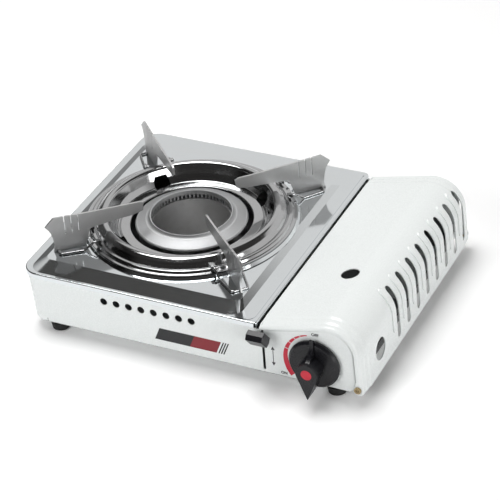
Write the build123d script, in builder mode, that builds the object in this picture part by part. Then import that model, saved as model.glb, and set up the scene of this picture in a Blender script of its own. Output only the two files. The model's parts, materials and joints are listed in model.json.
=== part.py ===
from build123d import *

import os
from math import atan2, cos, degrees, hypot, radians, sin, tan

os.makedirs("parts", exist_ok=True)

# Case. X runs along the front to the right, Y to the back, Z up, millimetres. z = 0 is the table.
CASE_Y = 9.0            # middle of the case in Y; the knobs stand forward of it
BODY_HALF = 128.5       # half depth over the painted walls
SHEET = 1.0             # painted sheet
GAP = 0.3               # seat between touching pieces
FOOT_H = 9.0
LEFT_TOP = -169.1       # left wall at the rim
LEFT_BOTTOM = -165.6    # left wall at the floor
CORNER_R = 18.0
FLOOR_RIGHT = 157.0
FLOOR_BEND = 4.0
FLOOR_TOP = FOOT_H + SHEET
LOW_WALL_TOP = 20.0
FRONT = CASE_Y - BODY_HALF
BACK = CASE_Y + BODY_HALF
FRONT_IN = FRONT + SHEET
BACK_IN = BACK - SHEET

# Top tray
TRAY_TOP = 63.0
TRAY_T = 0.6
TRAY_LEFT = LEFT_TOP - GAP - TRAY_T
TRAY_RIGHT = 69.4
TRAY_HALF = BODY_HALF + GAP + TRAY_T
TRAY_FRONT_R = 3.0      # corner radii at the cover's side
TRAY_BACK_R = 6.0
SKIRT_BOTTOM = 58.0
RIM_TOP = TRAY_TOP - TRAY_T - GAP
PLATEAU_TOP = 65.5
PLATEAU = (TRAY_LEFT + 15.5, 43.5, FRONT + 21.5, BACK - 27.5)      # left, right, front, back
PLATEAU_FOOT = (TRAY_LEFT + 8.0, 50.6, FRONT + 2.5, BACK - 15.5)
FOOT_CORNER = 13.0
GROOVE_X = TRAY_RIGHT - 4.3
GROOVE_Y = FRONT + 1.5
GROOVE_W = 1.0
GROOVE_D = 0.5
GROOVE_BEND = 9.0

# Drip bowl: its rim hangs in the raised hole of the tray
RING_X = -55.7
RING_Y = 6.3
STEP_OUT_R = 101.2
STEP_IN_R = STEP_OUT_R - 1.6
STEP_TOP = 68.3
TRAY_HOLE_R = STEP_IN_R - 4.4
BOWL_T = 0.6
BOWL_R = STEP_IN_R - 0.9
BOWL_SEAT = STEP_TOP + GAP + BOWL_T / 2
BEAD_TOP = BOWL_SEAT + 2.6
CREST_R = BOWL_R - 18.0     # middle of the rounded crest
CREST_TOP = BOWL_SEAT + 9.4
TROUGH_Z = BOWL_SEAT - 8.6

# Burner
BORE_R = 37.7
BURNER_TOP = 72.9
BURNER_EDGE_R = 53.0
BURNER_EDGE_Z = 65.0
BRIM_IN_R = BORE_R + 5.3
BRIM_TOP = BURNER_TOP - 3.2
CAST = 1.6
RING_BOTTOM = 64.4
CHAMBER_BOTTOM = 37.0
BASE_OUT_R = BURNER_EDGE_R - 2.5
LEDGE = 0.9             # inner ledge under the port ring
PORTS = 62
PORT_W = 2.0
PORT_TOP = BURNER_TOP - 4.3
WELL_BOTTOM = 20.0      # lower end of the inner tube
WELL_SLOTS = 32
WELL_SLOT_W = 4.0
WELL_SLOT_H = 3.2
TUBE_Z = 47.0
TUBE_R = 8.5
TUBE_END = 40.0
BELL_R = 12.0
THROAT_R = 5.5
ANNULUS_R = BURNER_EDGE_R + 4.4
ANNULUS_Z = BURNER_EDGE_Z - 0.8
ANNULUS_OUT_R = 66.6
SLOT_LONG = 16.0
SLOT_WIDE = 10.0
SLOT_R = 71.0
SLOT_TURN = 4.0
BOWL_PROFILE = (        # radius, height, bend radius at the corner
    (BOWL_R, BOWL_SEAT, 0.0),
    (BOWL_R - 3.1, BOWL_SEAT, 0.7),
    (BOWL_R - 4.3, BEAD_TOP, 1.0),
    (BOWL_R - 7.1, BEAD_TOP + 0.2, 1.0),
    (BOWL_R - 8.3, BEAD_TOP - 1.3, 0.6),
    (CREST_R + 7.1, CREST_TOP - 3.0, 5.0),
    (CREST_R + 2.7, CREST_TOP, 4.5),
    (CREST_R - 2.7, CREST_TOP, 3.8),
    (CREST_R - 7.3, TROUGH_Z, 2.4),
    (ANNULUS_OUT_R + 2.4, TROUGH_Z, 1.5),
    (ANNULUS_OUT_R, ANNULUS_Z, 1.0),
    (ANNULUS_R + 0.6, ANNULUS_Z, 0.5),
    (ANNULUS_R, ANNULUS_Z - 1.6, 0.0),
)

# Pan supports and wire loops: radii from the foot's inner end, heights from the foot
ARM_ANGLES = (44.0, 136.0, 224.0, 316.0)
ARM_T = 1.8
ARM_BASE = PLATEAU_TOP + GAP
ARM_FOOT_R = STEP_OUT_R + 0.8
ARM_H = 36.0
ARM_PROFILE = (
    (0.0, 0.0),
    (-0.8, 4.5),
    (-2.7, 9.5),
    (-4.0, 15.0),
    (-6.5, 17.0),
    (-30.0, 19.0),
    (-47.0, 20.0),
    (-56.5, 22.5),
    (-57.5, ARM_H - 5.5),
    (-54.0, ARM_H - 4.0),
    (-32.0, ARM_H - 3.4),
    (-2.0, ARM_H - 2.0),
    (28.1, ARM_H),
    (36.6, ARM_H - 8.0),
    (34.0, ARM_H - 11.6),
    (32.0, ARM_H - 15.6),
    (30.5, 14.4),
    (29.5, 6.4),
    (31.0, 0.0),
)
NICKS = (5.3, 11.7, 18.2)
NICK_W = 0.9
NICK_D = 17.5
WIRE_R = 1.0
WIRE_Z = PLATEAU_TOP + GAP + WIRE_R
LUG_R = BOWL_R - 5.5
LUG_SIZE = (4.6, 4.0, 3.4)
LUG_Z = BEAD_TOP + 0.2 + BOWL_T / 2 + GAP
WIRE_HIGH_Z = LUG_Z + LUG_SIZE[2] / 2
WIRE_OUT_R = ARM_FOOT_R + 27.0
WIRE_HALVES = (12.6, 11.2, 8.0)     # half widths at the lug, half way and at the outer end

# Cover
COVER_HALF = BODY_HALF + 1.5
COVER_X = TRAY_RIGHT + 2.7
COVER_EDGE_Z = 61.8
COVER_LIP = 57.0
COVER_CORNER = (166.3, 83.8)
COVER_FOOT = (170.0, 11.0)
COVER_ARC = 30.0
COVER_ROUND = 3.5
BANDS = ((0.0, 1.4), (6.5, 1.4), (9.0, 0.7), (14.0, 0.7), (16.5, 0.0))     # depth, drop from the roof
FLANGE_ROOF = 4.4
FLANGE_SIDE = 6.6
PANEL_GAP = 0.9
PANEL_ROUND = 2.0
PANEL_RIM = 4.0
COVER_FRONT = CASE_Y - COVER_HALF
COVER_BACK = CASE_Y + COVER_HALF
HINGE_X = COVER_FOOT[0] - 5.9
HINGE_Z = 16.0
HINGE_TAB = 4.2
HINGE_R = 1.5
HINGE_PAD = 2.6
HINGE_DEPTH = 3.0
ROOF_HOLE = (123.5, -36.5)
ROOF_HOLE_R = 8.5
SIDE_HOLE = (-79.5, 33.2)
SIDE_HOLE_R = 10.5
VENT_FIRST_Y = -38.1
VENT_PITCH = 23.2
VENTS = 8
VENT_W = 7.2
VENT_BOTTOM = 18.0
VENT_TOP = 69.5
RIB_H = 0.9
RIB_W = 8.0
RIB_BOTTOM = 28.0
RIB_TOP = VENT_TOP + 2.5
RIB_SHIFT = -8.6

# Front controls
KNOB_X = 124.3
KNOB_Z = 35.0
KNOB_R = 24.0
KNOB_FACE = FRONT - 20.35
KNOB_BACK = FRONT - 0.6
KNOB_DISC = 5.0
BOSS_R = 10.2
POINTER = 27.1
FIN_W = 3.8
SHAFT_R = 3.0
RUN = 0.05
DOT_R = 5.0
DOT_T = 1.0
LEVER_X = 74.5
LEVER_T = 1.5
LEVER_PIVOT = (FRONT + 58.5, 37.0)     # y, z of the pivot
LEVER_KNOB = (FRONT - 9.7, 54.2)
LEVER_KNOB_W = 16.5
LEVER_KNOB_TILT = 129.0     # long axis of the grip's section
LEVER_KNOB_HALF = 9.0
LEVER_KNOB_FLAT = 7.2
LEVER_KNOB_THICK = 4.8      # half thickness
LEVER_ARM_H = 7.0
LEVER_SOCKET = 40.0
SLOT_HEIGHT = 46.0
PIVOT_R = 2.5
DRIVE_R = 15.0
DRIVE_TURN = 15.5
DRIVE_PIN_R = 2.0
HOLE_COUNT = 8
HOLE_PITCH = 12.6
HOLE_X = -83.6
HOLE_Z = 48.4
HOLE_R = 3.6

# Cartridge bay
PART_X = TRAY_RIGHT - TRAY_T - SHEET - GAP     # left face of the partition
PART_TOP = RIM_TOP - GAP
CART_X = 128.0
CART_Z = 38.0
TROUGH_HALF = 22.0
TROUGH_TOP = 3.3
TROUGH_FRONT = FRONT + 49.5
TROUGH_BACK = BACK - 21.5
REG_FRONT = FRONT_IN + 11.5
REG_BACK = REG_FRONT + 21.0
REG_HALF = 17.0
REG_H = 32.0
SOCKET_BACK = REG_BACK + 8.0
SOCKET_R = 7.5
INLET_R = 4.9
INLET_BORE = 1.6
POST_R = 3.5
POST_OFFSET = 19.0
CAM_SMALL = 8.0
CAM_BIG = 13.0
CAM_W = 6.0
CAM_Y = REG_FRONT - CAM_W / 2 - 1.0
GUIDE_Y = SOCKET_BACK + 2.0
PIPE_R = 2.5
PIPE_Z = 38.0
PIPE_X = 86.0
LEAD_R = 1.2            # ignition lead that the ceramic takes
IGN_X = (84.0, 106.5)
IGN_Y = (CAM_Y - 7.0, CAM_Y + 7.0)
IGN_Z = (28.0, 42.0)
IGN_SCREW_X = 94.0
PLUNGER_R = 3.0
ELECTRODE_R = 29.0
ELECTRODE_TURN = -62.0
CERAMIC_R = 2.5
CERAMIC_TOP = 60.0
BRACKET_X = 50.0
BRACKET_HALF = 12.0
HEAT_HALF = 25.0
SCREW_R = 1.5
HEAD_R = 3.0
HEAD_H = 1.6


def save(shape, label):
    """Label a finished shape and write it as its own file."""
    shape.label = label
    export_step(shape, f"parts/{label}.step")


def polar(radius, angle):
    """Point on the burner side at a radius and angle round the burner axis."""
    return (RING_X + radius * cos(radians(angle)), RING_Y + radius * sin(radians(angle)))


def arch(inset, left, bottom, side_inset=None):
    """Corner points of the cover's outline moved inwards, left end to foot."""
    if side_inset is None:
        side_inset = inset
    slope = atan2(COVER_CORNER[1] - COVER_EDGE_Z, COVER_CORNER[0] - COVER_X)
    lean = atan2(COVER_FOOT[0] - COVER_CORNER[0], COVER_CORNER[1] - COVER_FOOT[1])
    rise = tan(slope)
    roof = COVER_EDGE_Z - inset / cos(slope) - COVER_X * rise
    side = COVER_CORNER[0] + COVER_CORNER[1] * tan(lean) - side_inset / cos(lean)
    corner_x = (side - roof * tan(lean)) / (1 + rise * tan(lean))
    return (
        (left, roof + left * rise),
        (corner_x, roof + corner_x * rise),
        (side - bottom * tan(lean), bottom),
    )


def xz(y):
    """Plane facing the front at a given depth: local x is X and local y is Z."""
    return Plane.XZ.offset(-y)


def yz(x):
    """Plane facing right at a given X: local x is Y and local y is Z."""
    return Plane.YZ.offset(x)


def arm_plane(angle, z):
    """Upright plane through the burner axis, local x outwards and local y up."""
    turn = radians(angle)
    return Plane(origin=(RING_X, RING_Y, z), x_dir=(cos(turn), sin(turn), 0), z_dir=(sin(turn), -cos(turn), 0))


# ---------------------------------------------------------------- body pan
vent_xs = [HOLE_X + HOLE_PITCH * i for i in range(HOLE_COUNT)]
foot_spots = [(x, CASE_Y + y) for x in (-139.0, 139.0) for y in (-118.0, 118.0)]
part_screws = [(PART_X - 8.0, CASE_Y + y) for y in (-95.0, 60.0, 105.0)]
bracket_spots = [(RING_X + s * (BRACKET_X + 6.0), RING_Y) for s in (-1, 1)]


def pan_outline(left, radius, inset):
    """Footprint of the pan: rounded at the left, square at the right."""
    right = FLOOR_RIGHT - inset
    low = FRONT + inset
    high = BACK - inset
    with BuildSketch() as outline:
        with BuildLine():
            FilletPolyline(
                (right, low),
                (left + inset, low),
                (left + inset, high),
                (right, high),
                radius=radius - inset,
            )
            Line((right, high), (right, low))
        make_face()
    return outline.sketch


PANEL_BOTTOM = FOOT_H + FLOOR_BEND + 0.2


def panel_outline(inset, left):
    """Arched panel beside the cartridge bay, moved inwards along its arch only."""
    start, corner, foot = arch(FLANGE_ROOF + PANEL_GAP + inset, left, HINGE_Z + 8.0, FLANGE_SIDE + PANEL_GAP + inset)
    with BuildSketch() as outline:
        with BuildLine():
            FilletPolyline(start, corner, foot, radius=COVER_ARC - FLANGE_SIDE - PANEL_GAP - inset)
            Polyline(
                foot,
                (FLOOR_RIGHT + 1.5, PANEL_BOTTOM),
                (FLOOR_RIGHT, PANEL_BOTTOM - 0.6),
                (FLOOR_RIGHT - FLOOR_BEND, PANEL_BOTTOM),
                (left, PANEL_BOTTOM),
                start,
            )
        make_face()
    return outline.sketch


def arch_panel(face, way):
    """Panel whose rounded rim turns inwards under the cover; way is +1 at the front and -1 at the back."""
    rim_left = LEVER_X + 2.5
    with BuildPart(mode=Mode.PRIVATE) as panel:
        with BuildSketch(xz(face)):
            add(panel_outline(0.0, rim_left))
        extrude(amount=-way * PANEL_RIM)
        outer = panel.edges().filter_by(lambda e: abs(e.center().Y - face) < GAP and e.length > PANEL_RIM)
        fillet(outer.filter_by(lambda e: e.center().Z > HINGE_Z + 10.0 and e.center().X > rim_left + 1.0), PANEL_ROUND)
        with BuildSketch(xz(face + way * SHEET)):
            add(panel_outline(SHEET, rim_left - 5.0))
            with Locations((rim_left - 5.0, 0.0)):
                Rectangle(FLOOR_RIGHT + 15.0 - rim_left, HINGE_Z + 8.0, align=(Align.MIN, Align.MIN))
        extrude(amount=-way * PANEL_RIM, mode=Mode.SUBTRACT)
        # flat strip beside the tray, behind the lever's slot
        roof_left, roof_right = (
            arch(FLANGE_ROOF + PANEL_GAP, x, HINGE_Z)[0] for x in (COVER_X + 2.0, rim_left + 0.5)
        )
        with BuildSketch(xz(face)):
            with BuildLine():
                Polyline(
                    (PART_X, PANEL_BOTTOM),
                    (roof_right[0], PANEL_BOTTOM),
                    roof_right,
                    roof_left,
                    (roof_left[0], COVER_LIP - 0.6),
                    (PART_X, COVER_LIP - 0.6),
                    close=True,
                )
            make_face()
        extrude(amount=-way * SHEET)
    return panel.part


with BuildPart() as body_pan:
    with BuildSketch(Plane.XY.offset(FOOT_H)):
        add(pan_outline(LEFT_BOTTOM, CORNER_R, 0.0))
    with BuildSketch(Plane.XY.offset(RIM_TOP)):
        add(pan_outline(LEFT_TOP, CORNER_R, 0.0))
    loft()
    fillet(body_pan.edges().group_by(Axis.Z)[0], FLOOR_BEND)
    with BuildPart(mode=Mode.PRIVATE) as pan_core:
        with BuildSketch(Plane.XY.offset(FLOOR_TOP)):
            add(pan_outline(LEFT_BOTTOM, CORNER_R, SHEET))
        with BuildSketch(Plane.XY.offset(RIM_TOP + SHEET)):
            add(pan_outline(LEFT_TOP, CORNER_R, SHEET))
        loft()
        fillet(pan_core.edges().group_by(Axis.Z)[0], FLOOR_BEND - SHEET)
    add(pan_core.part, mode=Mode.SUBTRACT)
    # the walls stay low beside the bay and end before the tray's rounded corners
    for level, left in (
        (LOW_WALL_TOP, TRAY_RIGHT - TRAY_T - GAP),
        (SKIRT_BOTTOM - GAP, TRAY_RIGHT - TRAY_BACK_R),
    ):
        with BuildSketch(Plane.XY.offset(level)):
            with Locations((left, CASE_Y)):
                Rectangle(COVER_CORNER[0] - PART_X, 2 * BODY_HALF + 2, align=(Align.MIN, Align.CENTER))
        extrude(amount=RIM_TOP, mode=Mode.SUBTRACT)
    for face, way in ((FRONT, 1), (BACK, -1)):
        add(arch_panel(face, way))
    # thick pads behind the panels that take the hinge screws
    for outer in (FRONT_IN + HINGE_DEPTH, BACK_IN):
        with BuildSketch(xz(outer)):
            with BuildLine():
                Polyline(
                    (HINGE_X - 14.6, PANEL_BOTTOM + 0.4),
                    (HINGE_X, HINGE_Z - 2.4),
                    (HINGE_X, HINGE_Z + HINGE_PAD),
                    (HINGE_X - 3.6, HINGE_Z + 10.0),
                    (HINGE_X - 14.6, HINGE_Z + 10.0),
                    close=True,
                )
            make_face()
            with Locations((HINGE_X, HINGE_Z)):
                Circle(HINGE_PAD)
        extrude(amount=HINGE_DEPTH)
    # trough for the cartridge
    with BuildSketch(Plane.XY.offset(TROUGH_TOP - SHEET)):
        with Locations((CART_X, (TROUGH_FRONT + TROUGH_BACK) / 2)):
            RectangleRounded(2 * TROUGH_HALF, TROUGH_BACK - TROUGH_FRONT, 8)
    extrude(amount=FLOOR_TOP - TROUGH_TOP + SHEET, taper=-8)
    with BuildSketch(Plane.XY.offset(TROUGH_TOP)):
        with Locations((CART_X, (TROUGH_FRONT + TROUGH_BACK) / 2)):
            RectangleRounded(2 * TROUGH_HALF - 1, TROUGH_BACK - TROUGH_FRONT - 1, 7.5)
    extrude(amount=FLOOR_TOP - TROUGH_TOP + 0.01, taper=-8, mode=Mode.SUBTRACT)
    # openings in the front and back walls
    with BuildSketch(xz(FRONT_IN)):
        with Locations([(x, HOLE_Z) for x in vent_xs]):
            Circle(HOLE_R)
        with Locations((LEVER_X, LEVER_PIVOT[1])):
            SlotOverall(SLOT_HEIGHT, LEVER_T + 1.0, rotation=90)
        with Locations((KNOB_X, KNOB_Z)):
            Circle(SHAFT_R + 1.0)
        with Locations([(KNOB_X, KNOB_Z + s * POST_OFFSET) for s in (-1, 1)]):
            Circle(SCREW_R)
        with Locations((-146.0, 12.6)):
            Rectangle(0.8, 5.0)
    extrude(amount=SHEET + 1, mode=Mode.SUBTRACT)
    with BuildSketch(xz(BACK + 1)):
        with Locations([(x, HOLE_Z) for x in vent_xs]):
            SlotOverall(14.0, 4.0, rotation=90)
        with Locations([(x, 40.0) for x in (CART_X - 28.0, CART_X - 12.0, CART_X + 4.0)]):
            SlotOverall(20.0, 4.0, rotation=90)
    extrude(amount=SHEET + 2, mode=Mode.SUBTRACT)
    with BuildSketch(yz(LEFT_TOP - 2)):
        with Locations([(CASE_Y + 22.0 * i, 44.0) for i in range(-3, 4)]):
            SlotOverall(14.0, 4.0)
    extrude(amount=12.0, mode=Mode.SUBTRACT)
    with BuildSketch(Plane.XY.offset(FOOT_H - 1)):
        with Locations((RING_X, RING_Y)):
            with PolarLocations(30.0, 8):
                SlotOverall(22.0, 5.0)
        with Locations(foot_spots + part_screws + bracket_spots):
            Circle(SCREW_R)
        with Locations((IGN_SCREW_X, CAM_Y)):
            Circle(SCREW_R)
    extrude(amount=SHEET + 2, mode=Mode.SUBTRACT)
    for outer in (FRONT + 5.0, BACK):
        with BuildSketch(xz(outer)):
            with Locations((HINGE_X, HINGE_Z)):
                Circle(HINGE_R)
        extrude(amount=5.0, mode=Mode.SUBTRACT)
save(body_pan.part, "body_pan")

# ---------------------------------------------------------------- feet
for number, spot in enumerate(foot_spots):
    with BuildPart() as foot:
        with BuildSketch():
            with Locations(spot):
                Circle(8.0)
        with BuildSketch(Plane.XY.offset(FOOT_H - GAP)):
            with Locations(spot):
                Circle(9.5)
        loft()
        with BuildSketch():
            with Locations(spot):
                Circle(HEAD_R + 0.6)
        extrude(amount=4.0, mode=Mode.SUBTRACT)
        with BuildSketch():
            with Locations(spot):
                Circle(SCREW_R + RUN)
        extrude(amount=FOOT_H, mode=Mode.SUBTRACT)
        chamfer(foot.edges().filter_by(GeomType.CIRCLE).group_by(Axis.Z)[0].sort_by(SortBy.RADIUS)[-1], 0.8)
    save(foot.part, f"rubber_foot_{number + 1}")

with BuildPart() as foot_screws:
    for spot in foot_spots:
        with BuildSketch(Plane.XY.offset(4.0 - GAP - HEAD_H)):
            with Locations(spot):
                Circle(HEAD_R)
        extrude(amount=HEAD_H)
        with BuildSketch(Plane.XY.offset(4.0 - GAP)):
            with Locations(spot):
                Circle(SCREW_R)
        extrude(amount=FLOOR_TOP + 3.0 - 4.0)
save(foot_screws.part, "foot_screws")


# ---------------------------------------------------------------- top tray
def box_sketch(bounds, radius):
    """Rounded rectangle from left, right, front and back."""
    left, right, low, high = bounds
    with BuildSketch() as outline:
        with Locations(((left + right) / 2, (low + high) / 2)):
            RectangleRounded(right - left, high - low, radius)
    return outline.sketch


def tray_face(inset):
    """Face of the tray outline with its own radius at each corner."""
    low = CASE_Y - TRAY_HALF + inset
    high = CASE_Y + TRAY_HALF - inset
    with BuildSketch() as outline:
        with Locations(((TRAY_LEFT + TRAY_RIGHT) / 2, CASE_Y)):
            Rectangle(TRAY_RIGHT - TRAY_LEFT - 2 * inset, high - low)
        corners = outline.vertices()
        fillet(corners.group_by(Axis.X)[0], CORNER_R - inset)
        right_corners = outline.vertices().group_by(Axis.X)[-1].sort_by(Axis.Y)
        fillet(right_corners[0], TRAY_FRONT_R - inset)
        fillet(outline.vertices().group_by(Axis.X)[-1].sort_by(Axis.Y)[-1], TRAY_BACK_R - inset)
    return outline.sketch


def plateau_shape(drop):
    """Raised part of the tray as a solid, lowered by a sheet thickness for the inside."""
    with BuildPart(mode=Mode.PRIVATE) as shape:
        with BuildSketch(Plane.XY.offset(TRAY_TOP - TRAY_T - drop)):
            add(box_sketch(PLATEAU_FOOT, FOOT_CORNER))
        with BuildSketch(Plane.XY.offset(TRAY_TOP - drop)):
            add(box_sketch(PLATEAU_FOOT, FOOT_CORNER))
        loft()
        with BuildSketch(Plane.XY.offset(TRAY_TOP - drop)):
            add(box_sketch(PLATEAU_FOOT, FOOT_CORNER))
        with BuildSketch(Plane.XY.offset(PLATEAU_TOP - drop)):
            add(box_sketch(PLATEAU, FOOT_CORNER / 2))
        loft()
        with BuildSketch(Plane.XY.offset(PLATEAU_TOP - drop)):
            with Locations((RING_X, RING_Y)):
                Circle(STEP_OUT_R)
        with BuildSketch(Plane.XY.offset(STEP_TOP - drop)):
            with Locations((RING_X, RING_Y)):
                Circle(STEP_IN_R)
        loft()
    return shape.part


with BuildPart() as top_tray:
    with BuildSketch(Plane.XY.offset(SKIRT_BOTTOM)):
        add(tray_face(0.0))
    extrude(amount=TRAY_TOP - SKIRT_BOTTOM)
    fillet(top_tray.edges().group_by(Axis.Z)[-1], 1.2)
    add(plateau_shape(0.0))
    with BuildSketch(Plane.XY.offset(SKIRT_BOTTOM)):
        add(tray_face(TRAY_T))
    extrude(amount=TRAY_TOP - TRAY_T - SKIRT_BOTTOM, mode=Mode.SUBTRACT)
    add(plateau_shape(TRAY_T), mode=Mode.SUBTRACT)
    with BuildSketch(Plane.XY.offset(SKIRT_BOTTOM)):
        with Locations((RING_X, RING_Y)):
            Circle(TRAY_HOLE_R)
    extrude(amount=STEP_TOP, mode=Mode.SUBTRACT)
    # the skirt stops short of the partition side
    with BuildSketch(Plane.XY.offset(SKIRT_BOTTOM - 1)):
        with Locations((TRAY_RIGHT, CASE_Y)):
            Rectangle(2 * TRAY_T, 2 * TRAY_HALF - 12.0)
    extrude(amount=TRAY_TOP - TRAY_T - SKIRT_BOTTOM - 1.0, mode=Mode.SUBTRACT)
    # pressed groove with its bead underneath
    for level, width, height, kind in (
        (TRAY_TOP - TRAY_T - GAP / 2, GROOVE_W + 2 * TRAY_T, (GAP + TRAY_T) / 2, Mode.ADD),
        (TRAY_TOP - GROOVE_D, GROOVE_W, 1.0, Mode.SUBTRACT),
    ):
        with BuildSketch(Plane.XY.offset(level)):
            with BuildLine():
                FilletPolyline(
                    (GROOVE_X, BACK - 6.0),
                    (GROOVE_X, GROOVE_Y),
                    (GROOVE_X - 20.0, GROOVE_Y),
                    radius=GROOVE_BEND,
                )
                offset(amount=width / 2)
            make_face()
        extrude(amount=height, mode=kind)
save(top_tray.part, "top_tray")

# ---------------------------------------------------------------- drip bowl
with BuildPart() as drip_bowl:
    with BuildSketch(arm_plane(0.0, 0.0)):
        with BuildLine():
            FilletPolyline(*[(r, z) for r, z, _ in BOWL_PROFILE], radius=[bend for _, _, bend in BOWL_PROFILE[1:-1]])
        trace(line_width=BOWL_T)
    revolve(axis=Axis((RING_X, RING_Y, 0), (0, 0, 1)))
    with BuildSketch(Plane.XY.offset(TROUGH_Z - 4.0)):
        for angle in ARM_ANGLES:
            with Locations(Pos(*polar(SLOT_R, angle + SLOT_TURN)) * Rot(0, 0, angle + SLOT_TURN + 90)):
                SlotOverall(SLOT_LONG, SLOT_WIDE)
    extrude(amount=14.0, mode=Mode.SUBTRACT)
save(drip_bowl.part, "drip_bowl")

# ---------------------------------------------------------------- burner
burner_axis = Axis((RING_X, RING_Y, 0), (0, 0, 1))
with BuildPart() as burner_ring:
    with BuildSketch(arm_plane(0.0, 0.0)):
        with BuildLine():
            Polyline(
                (BORE_R, RING_BOTTOM),
                (BORE_R, BURNER_TOP - 0.5),
                (BORE_R + 0.4, BURNER_TOP),
                (BORE_R + 1.1, BURNER_TOP),
                (BORE_R + 1.4, BURNER_TOP - 1.0),
            )
            ThreePointArc(
                (BORE_R + 1.4, BURNER_TOP - 1.0),
                (BORE_R + 2.6, BRIM_TOP + 0.9),
                (BRIM_IN_R, BRIM_TOP),
            )
            Line((BRIM_IN_R, BRIM_TOP), (BURNER_EDGE_R - 2.0, BURNER_EDGE_Z + 1.7))
            ThreePointArc(
                (BURNER_EDGE_R - 2.0, BURNER_EDGE_Z + 1.7),
                (BURNER_EDGE_R - 0.5, BURNER_EDGE_Z + 1.0),
                (BURNER_EDGE_R, BURNER_EDGE_Z),
            )
            Polyline(
                (BURNER_EDGE_R, BURNER_EDGE_Z),
                (BURNER_EDGE_R - CAST, BURNER_EDGE_Z),
                (BRIM_IN_R, BRIM_TOP - CAST),
                (BORE_R + CAST + 0.8, BRIM_TOP - 0.6),
                (BORE_R + CAST, BRIM_TOP - 0.9),
                (BORE_R + CAST, RING_BOTTOM),
                (BORE_R, RING_BOTTOM),
            )
        make_face()
    revolve(axis=burner_axis)
    with BuildSketch(Plane.XY.offset(RING_BOTTOM - 1.0)):
        with Locations((RING_X, RING_Y)):
            with PolarLocations(BORE_R + CAST / 2, PORTS):
                Rectangle(2 * CAST, PORT_W)
    extrude(amount=PORT_TOP - RING_BOTTOM + 1.0, mode=Mode.SUBTRACT)
save(burner_ring.part, "burner_ring")

WELL_R = BORE_R - LEDGE
LEDGE_TOP = RING_BOTTOM - GAP
with BuildPart() as burner_base:
    with BuildSketch(arm_plane(0.0, 0.0)):
        with BuildLine():
            Polyline(
                (WELL_R, WELL_BOTTOM),
                (WELL_R, LEDGE_TOP),
                (BORE_R + CAST, LEDGE_TOP),
                (BORE_R + CAST, LEDGE_TOP - CAST),
                (WELL_R + CAST, LEDGE_TOP - CAST),
                (WELL_R + CAST, CHAMBER_BOTTOM + CAST),
                (BASE_OUT_R - CAST, CHAMBER_BOTTOM + CAST),
                (BASE_OUT_R - CAST, BURNER_EDGE_Z - 2.0),
                (BURNER_EDGE_R - CAST, BURNER_EDGE_Z - GAP),
                (BURNER_EDGE_R, BURNER_EDGE_Z - GAP),
                (BASE_OUT_R, BURNER_EDGE_Z - 3.0),
                (BASE_OUT_R, CHAMBER_BOTTOM),
                (WELL_R + CAST, CHAMBER_BOTTOM),
                (WELL_R + CAST, WELL_BOTTOM),
                (WELL_R, WELL_BOTTOM),
            )
        make_face()
    revolve(axis=burner_axis)
    with BuildSketch(yz(RING_X + BASE_OUT_R - 4.0)):
        with Locations((RING_Y, TUBE_Z)):
            Circle(TUBE_R)
    extrude(amount=14.0)
    with BuildSketch(yz(RING_X + BASE_OUT_R - 10.0)):
        with Locations((RING_Y, TUBE_Z)):
            Circle(TUBE_R - CAST)
    extrude(amount=30.0, mode=Mode.SUBTRACT)
    # air slots round the foot of the inner tube
    with BuildSketch(Plane.XY.offset(WELL_BOTTOM - 1.0)):
        with Locations((RING_X, RING_Y)):
            with PolarLocations(WELL_R + CAST / 2, WELL_SLOTS):
                Rectangle(2 * CAST, WELL_SLOT_W)
    extrude(amount=WELL_SLOT_H + 1.0, mode=Mode.SUBTRACT)
save(burner_base.part, "burner_base")

DISH_R = WELL_R + 2 * CAST
DISH_TOP = WELL_BOTTOM - GAP
electrode_x, electrode_y = polar(ELECTRODE_R, ELECTRODE_TURN)
with BuildPart() as burner_dish:
    with BuildSketch(Plane.XY.offset(FLOOR_TOP + GAP)):
        with Locations((RING_X, RING_Y)):
            Circle(DISH_R)
    extrude(amount=DISH_TOP - FLOOR_TOP - GAP)
    fillet(burner_dish.edges().group_by(Axis.Z)[-1], 1.5)
    with BuildSketch(Plane.XY.offset(FLOOR_TOP)):
        with Locations((RING_X, RING_Y)):
            Circle(DISH_R - SHEET)
    extrude(amount=DISH_TOP - SHEET - FLOOR_TOP, mode=Mode.SUBTRACT)
    with BuildSketch(Plane.XY.offset(FLOOR_TOP)):
        with Locations((RING_X, RING_Y)):
            with PolarLocations(18.0, 6):
                SlotOverall(12.0, 5.0)
        with Locations((electrode_x, electrode_y)):
            Circle(CERAMIC_R + RUN)
    extrude(amount=DISH_TOP, mode=Mode.SUBTRACT)
save(burner_dish.part, "burner_dish")

# ---------------------------------------------------------------- mixing tube, bracket, injector
with BuildPart() as mixing_tube:
    tube_start = RING_X + BASE_OUT_R - 2.0
    seat = TUBE_R - CAST - RUN
    with BuildSketch(Plane(origin=(0, RING_Y, TUBE_Z), x_dir=(1, 0, 0), z_dir=(0, -1, 0))):
        with BuildLine():
            Polyline(
                (tube_start, seat - CAST),
                (tube_start, seat),
                (12.0, seat),
                (22.0, THROAT_R + CAST),
                (29.0, THROAT_R + CAST),
                (TUBE_END - 3.0, BELL_R - 1.0),
                (TUBE_END, BELL_R),
                (TUBE_END, BELL_R - CAST),
                (TUBE_END - 3.0, BELL_R - CAST - 1.0),
                (29.0, THROAT_R),
                (22.0, THROAT_R),
                (12.0, seat - CAST),
                (tube_start, seat - CAST),
            )
        make_face()
    revolve(axis=Axis((0, RING_Y, TUBE_Z), (1, 0, 0)))
save(mixing_tube.part, "mixing_tube")

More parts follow.
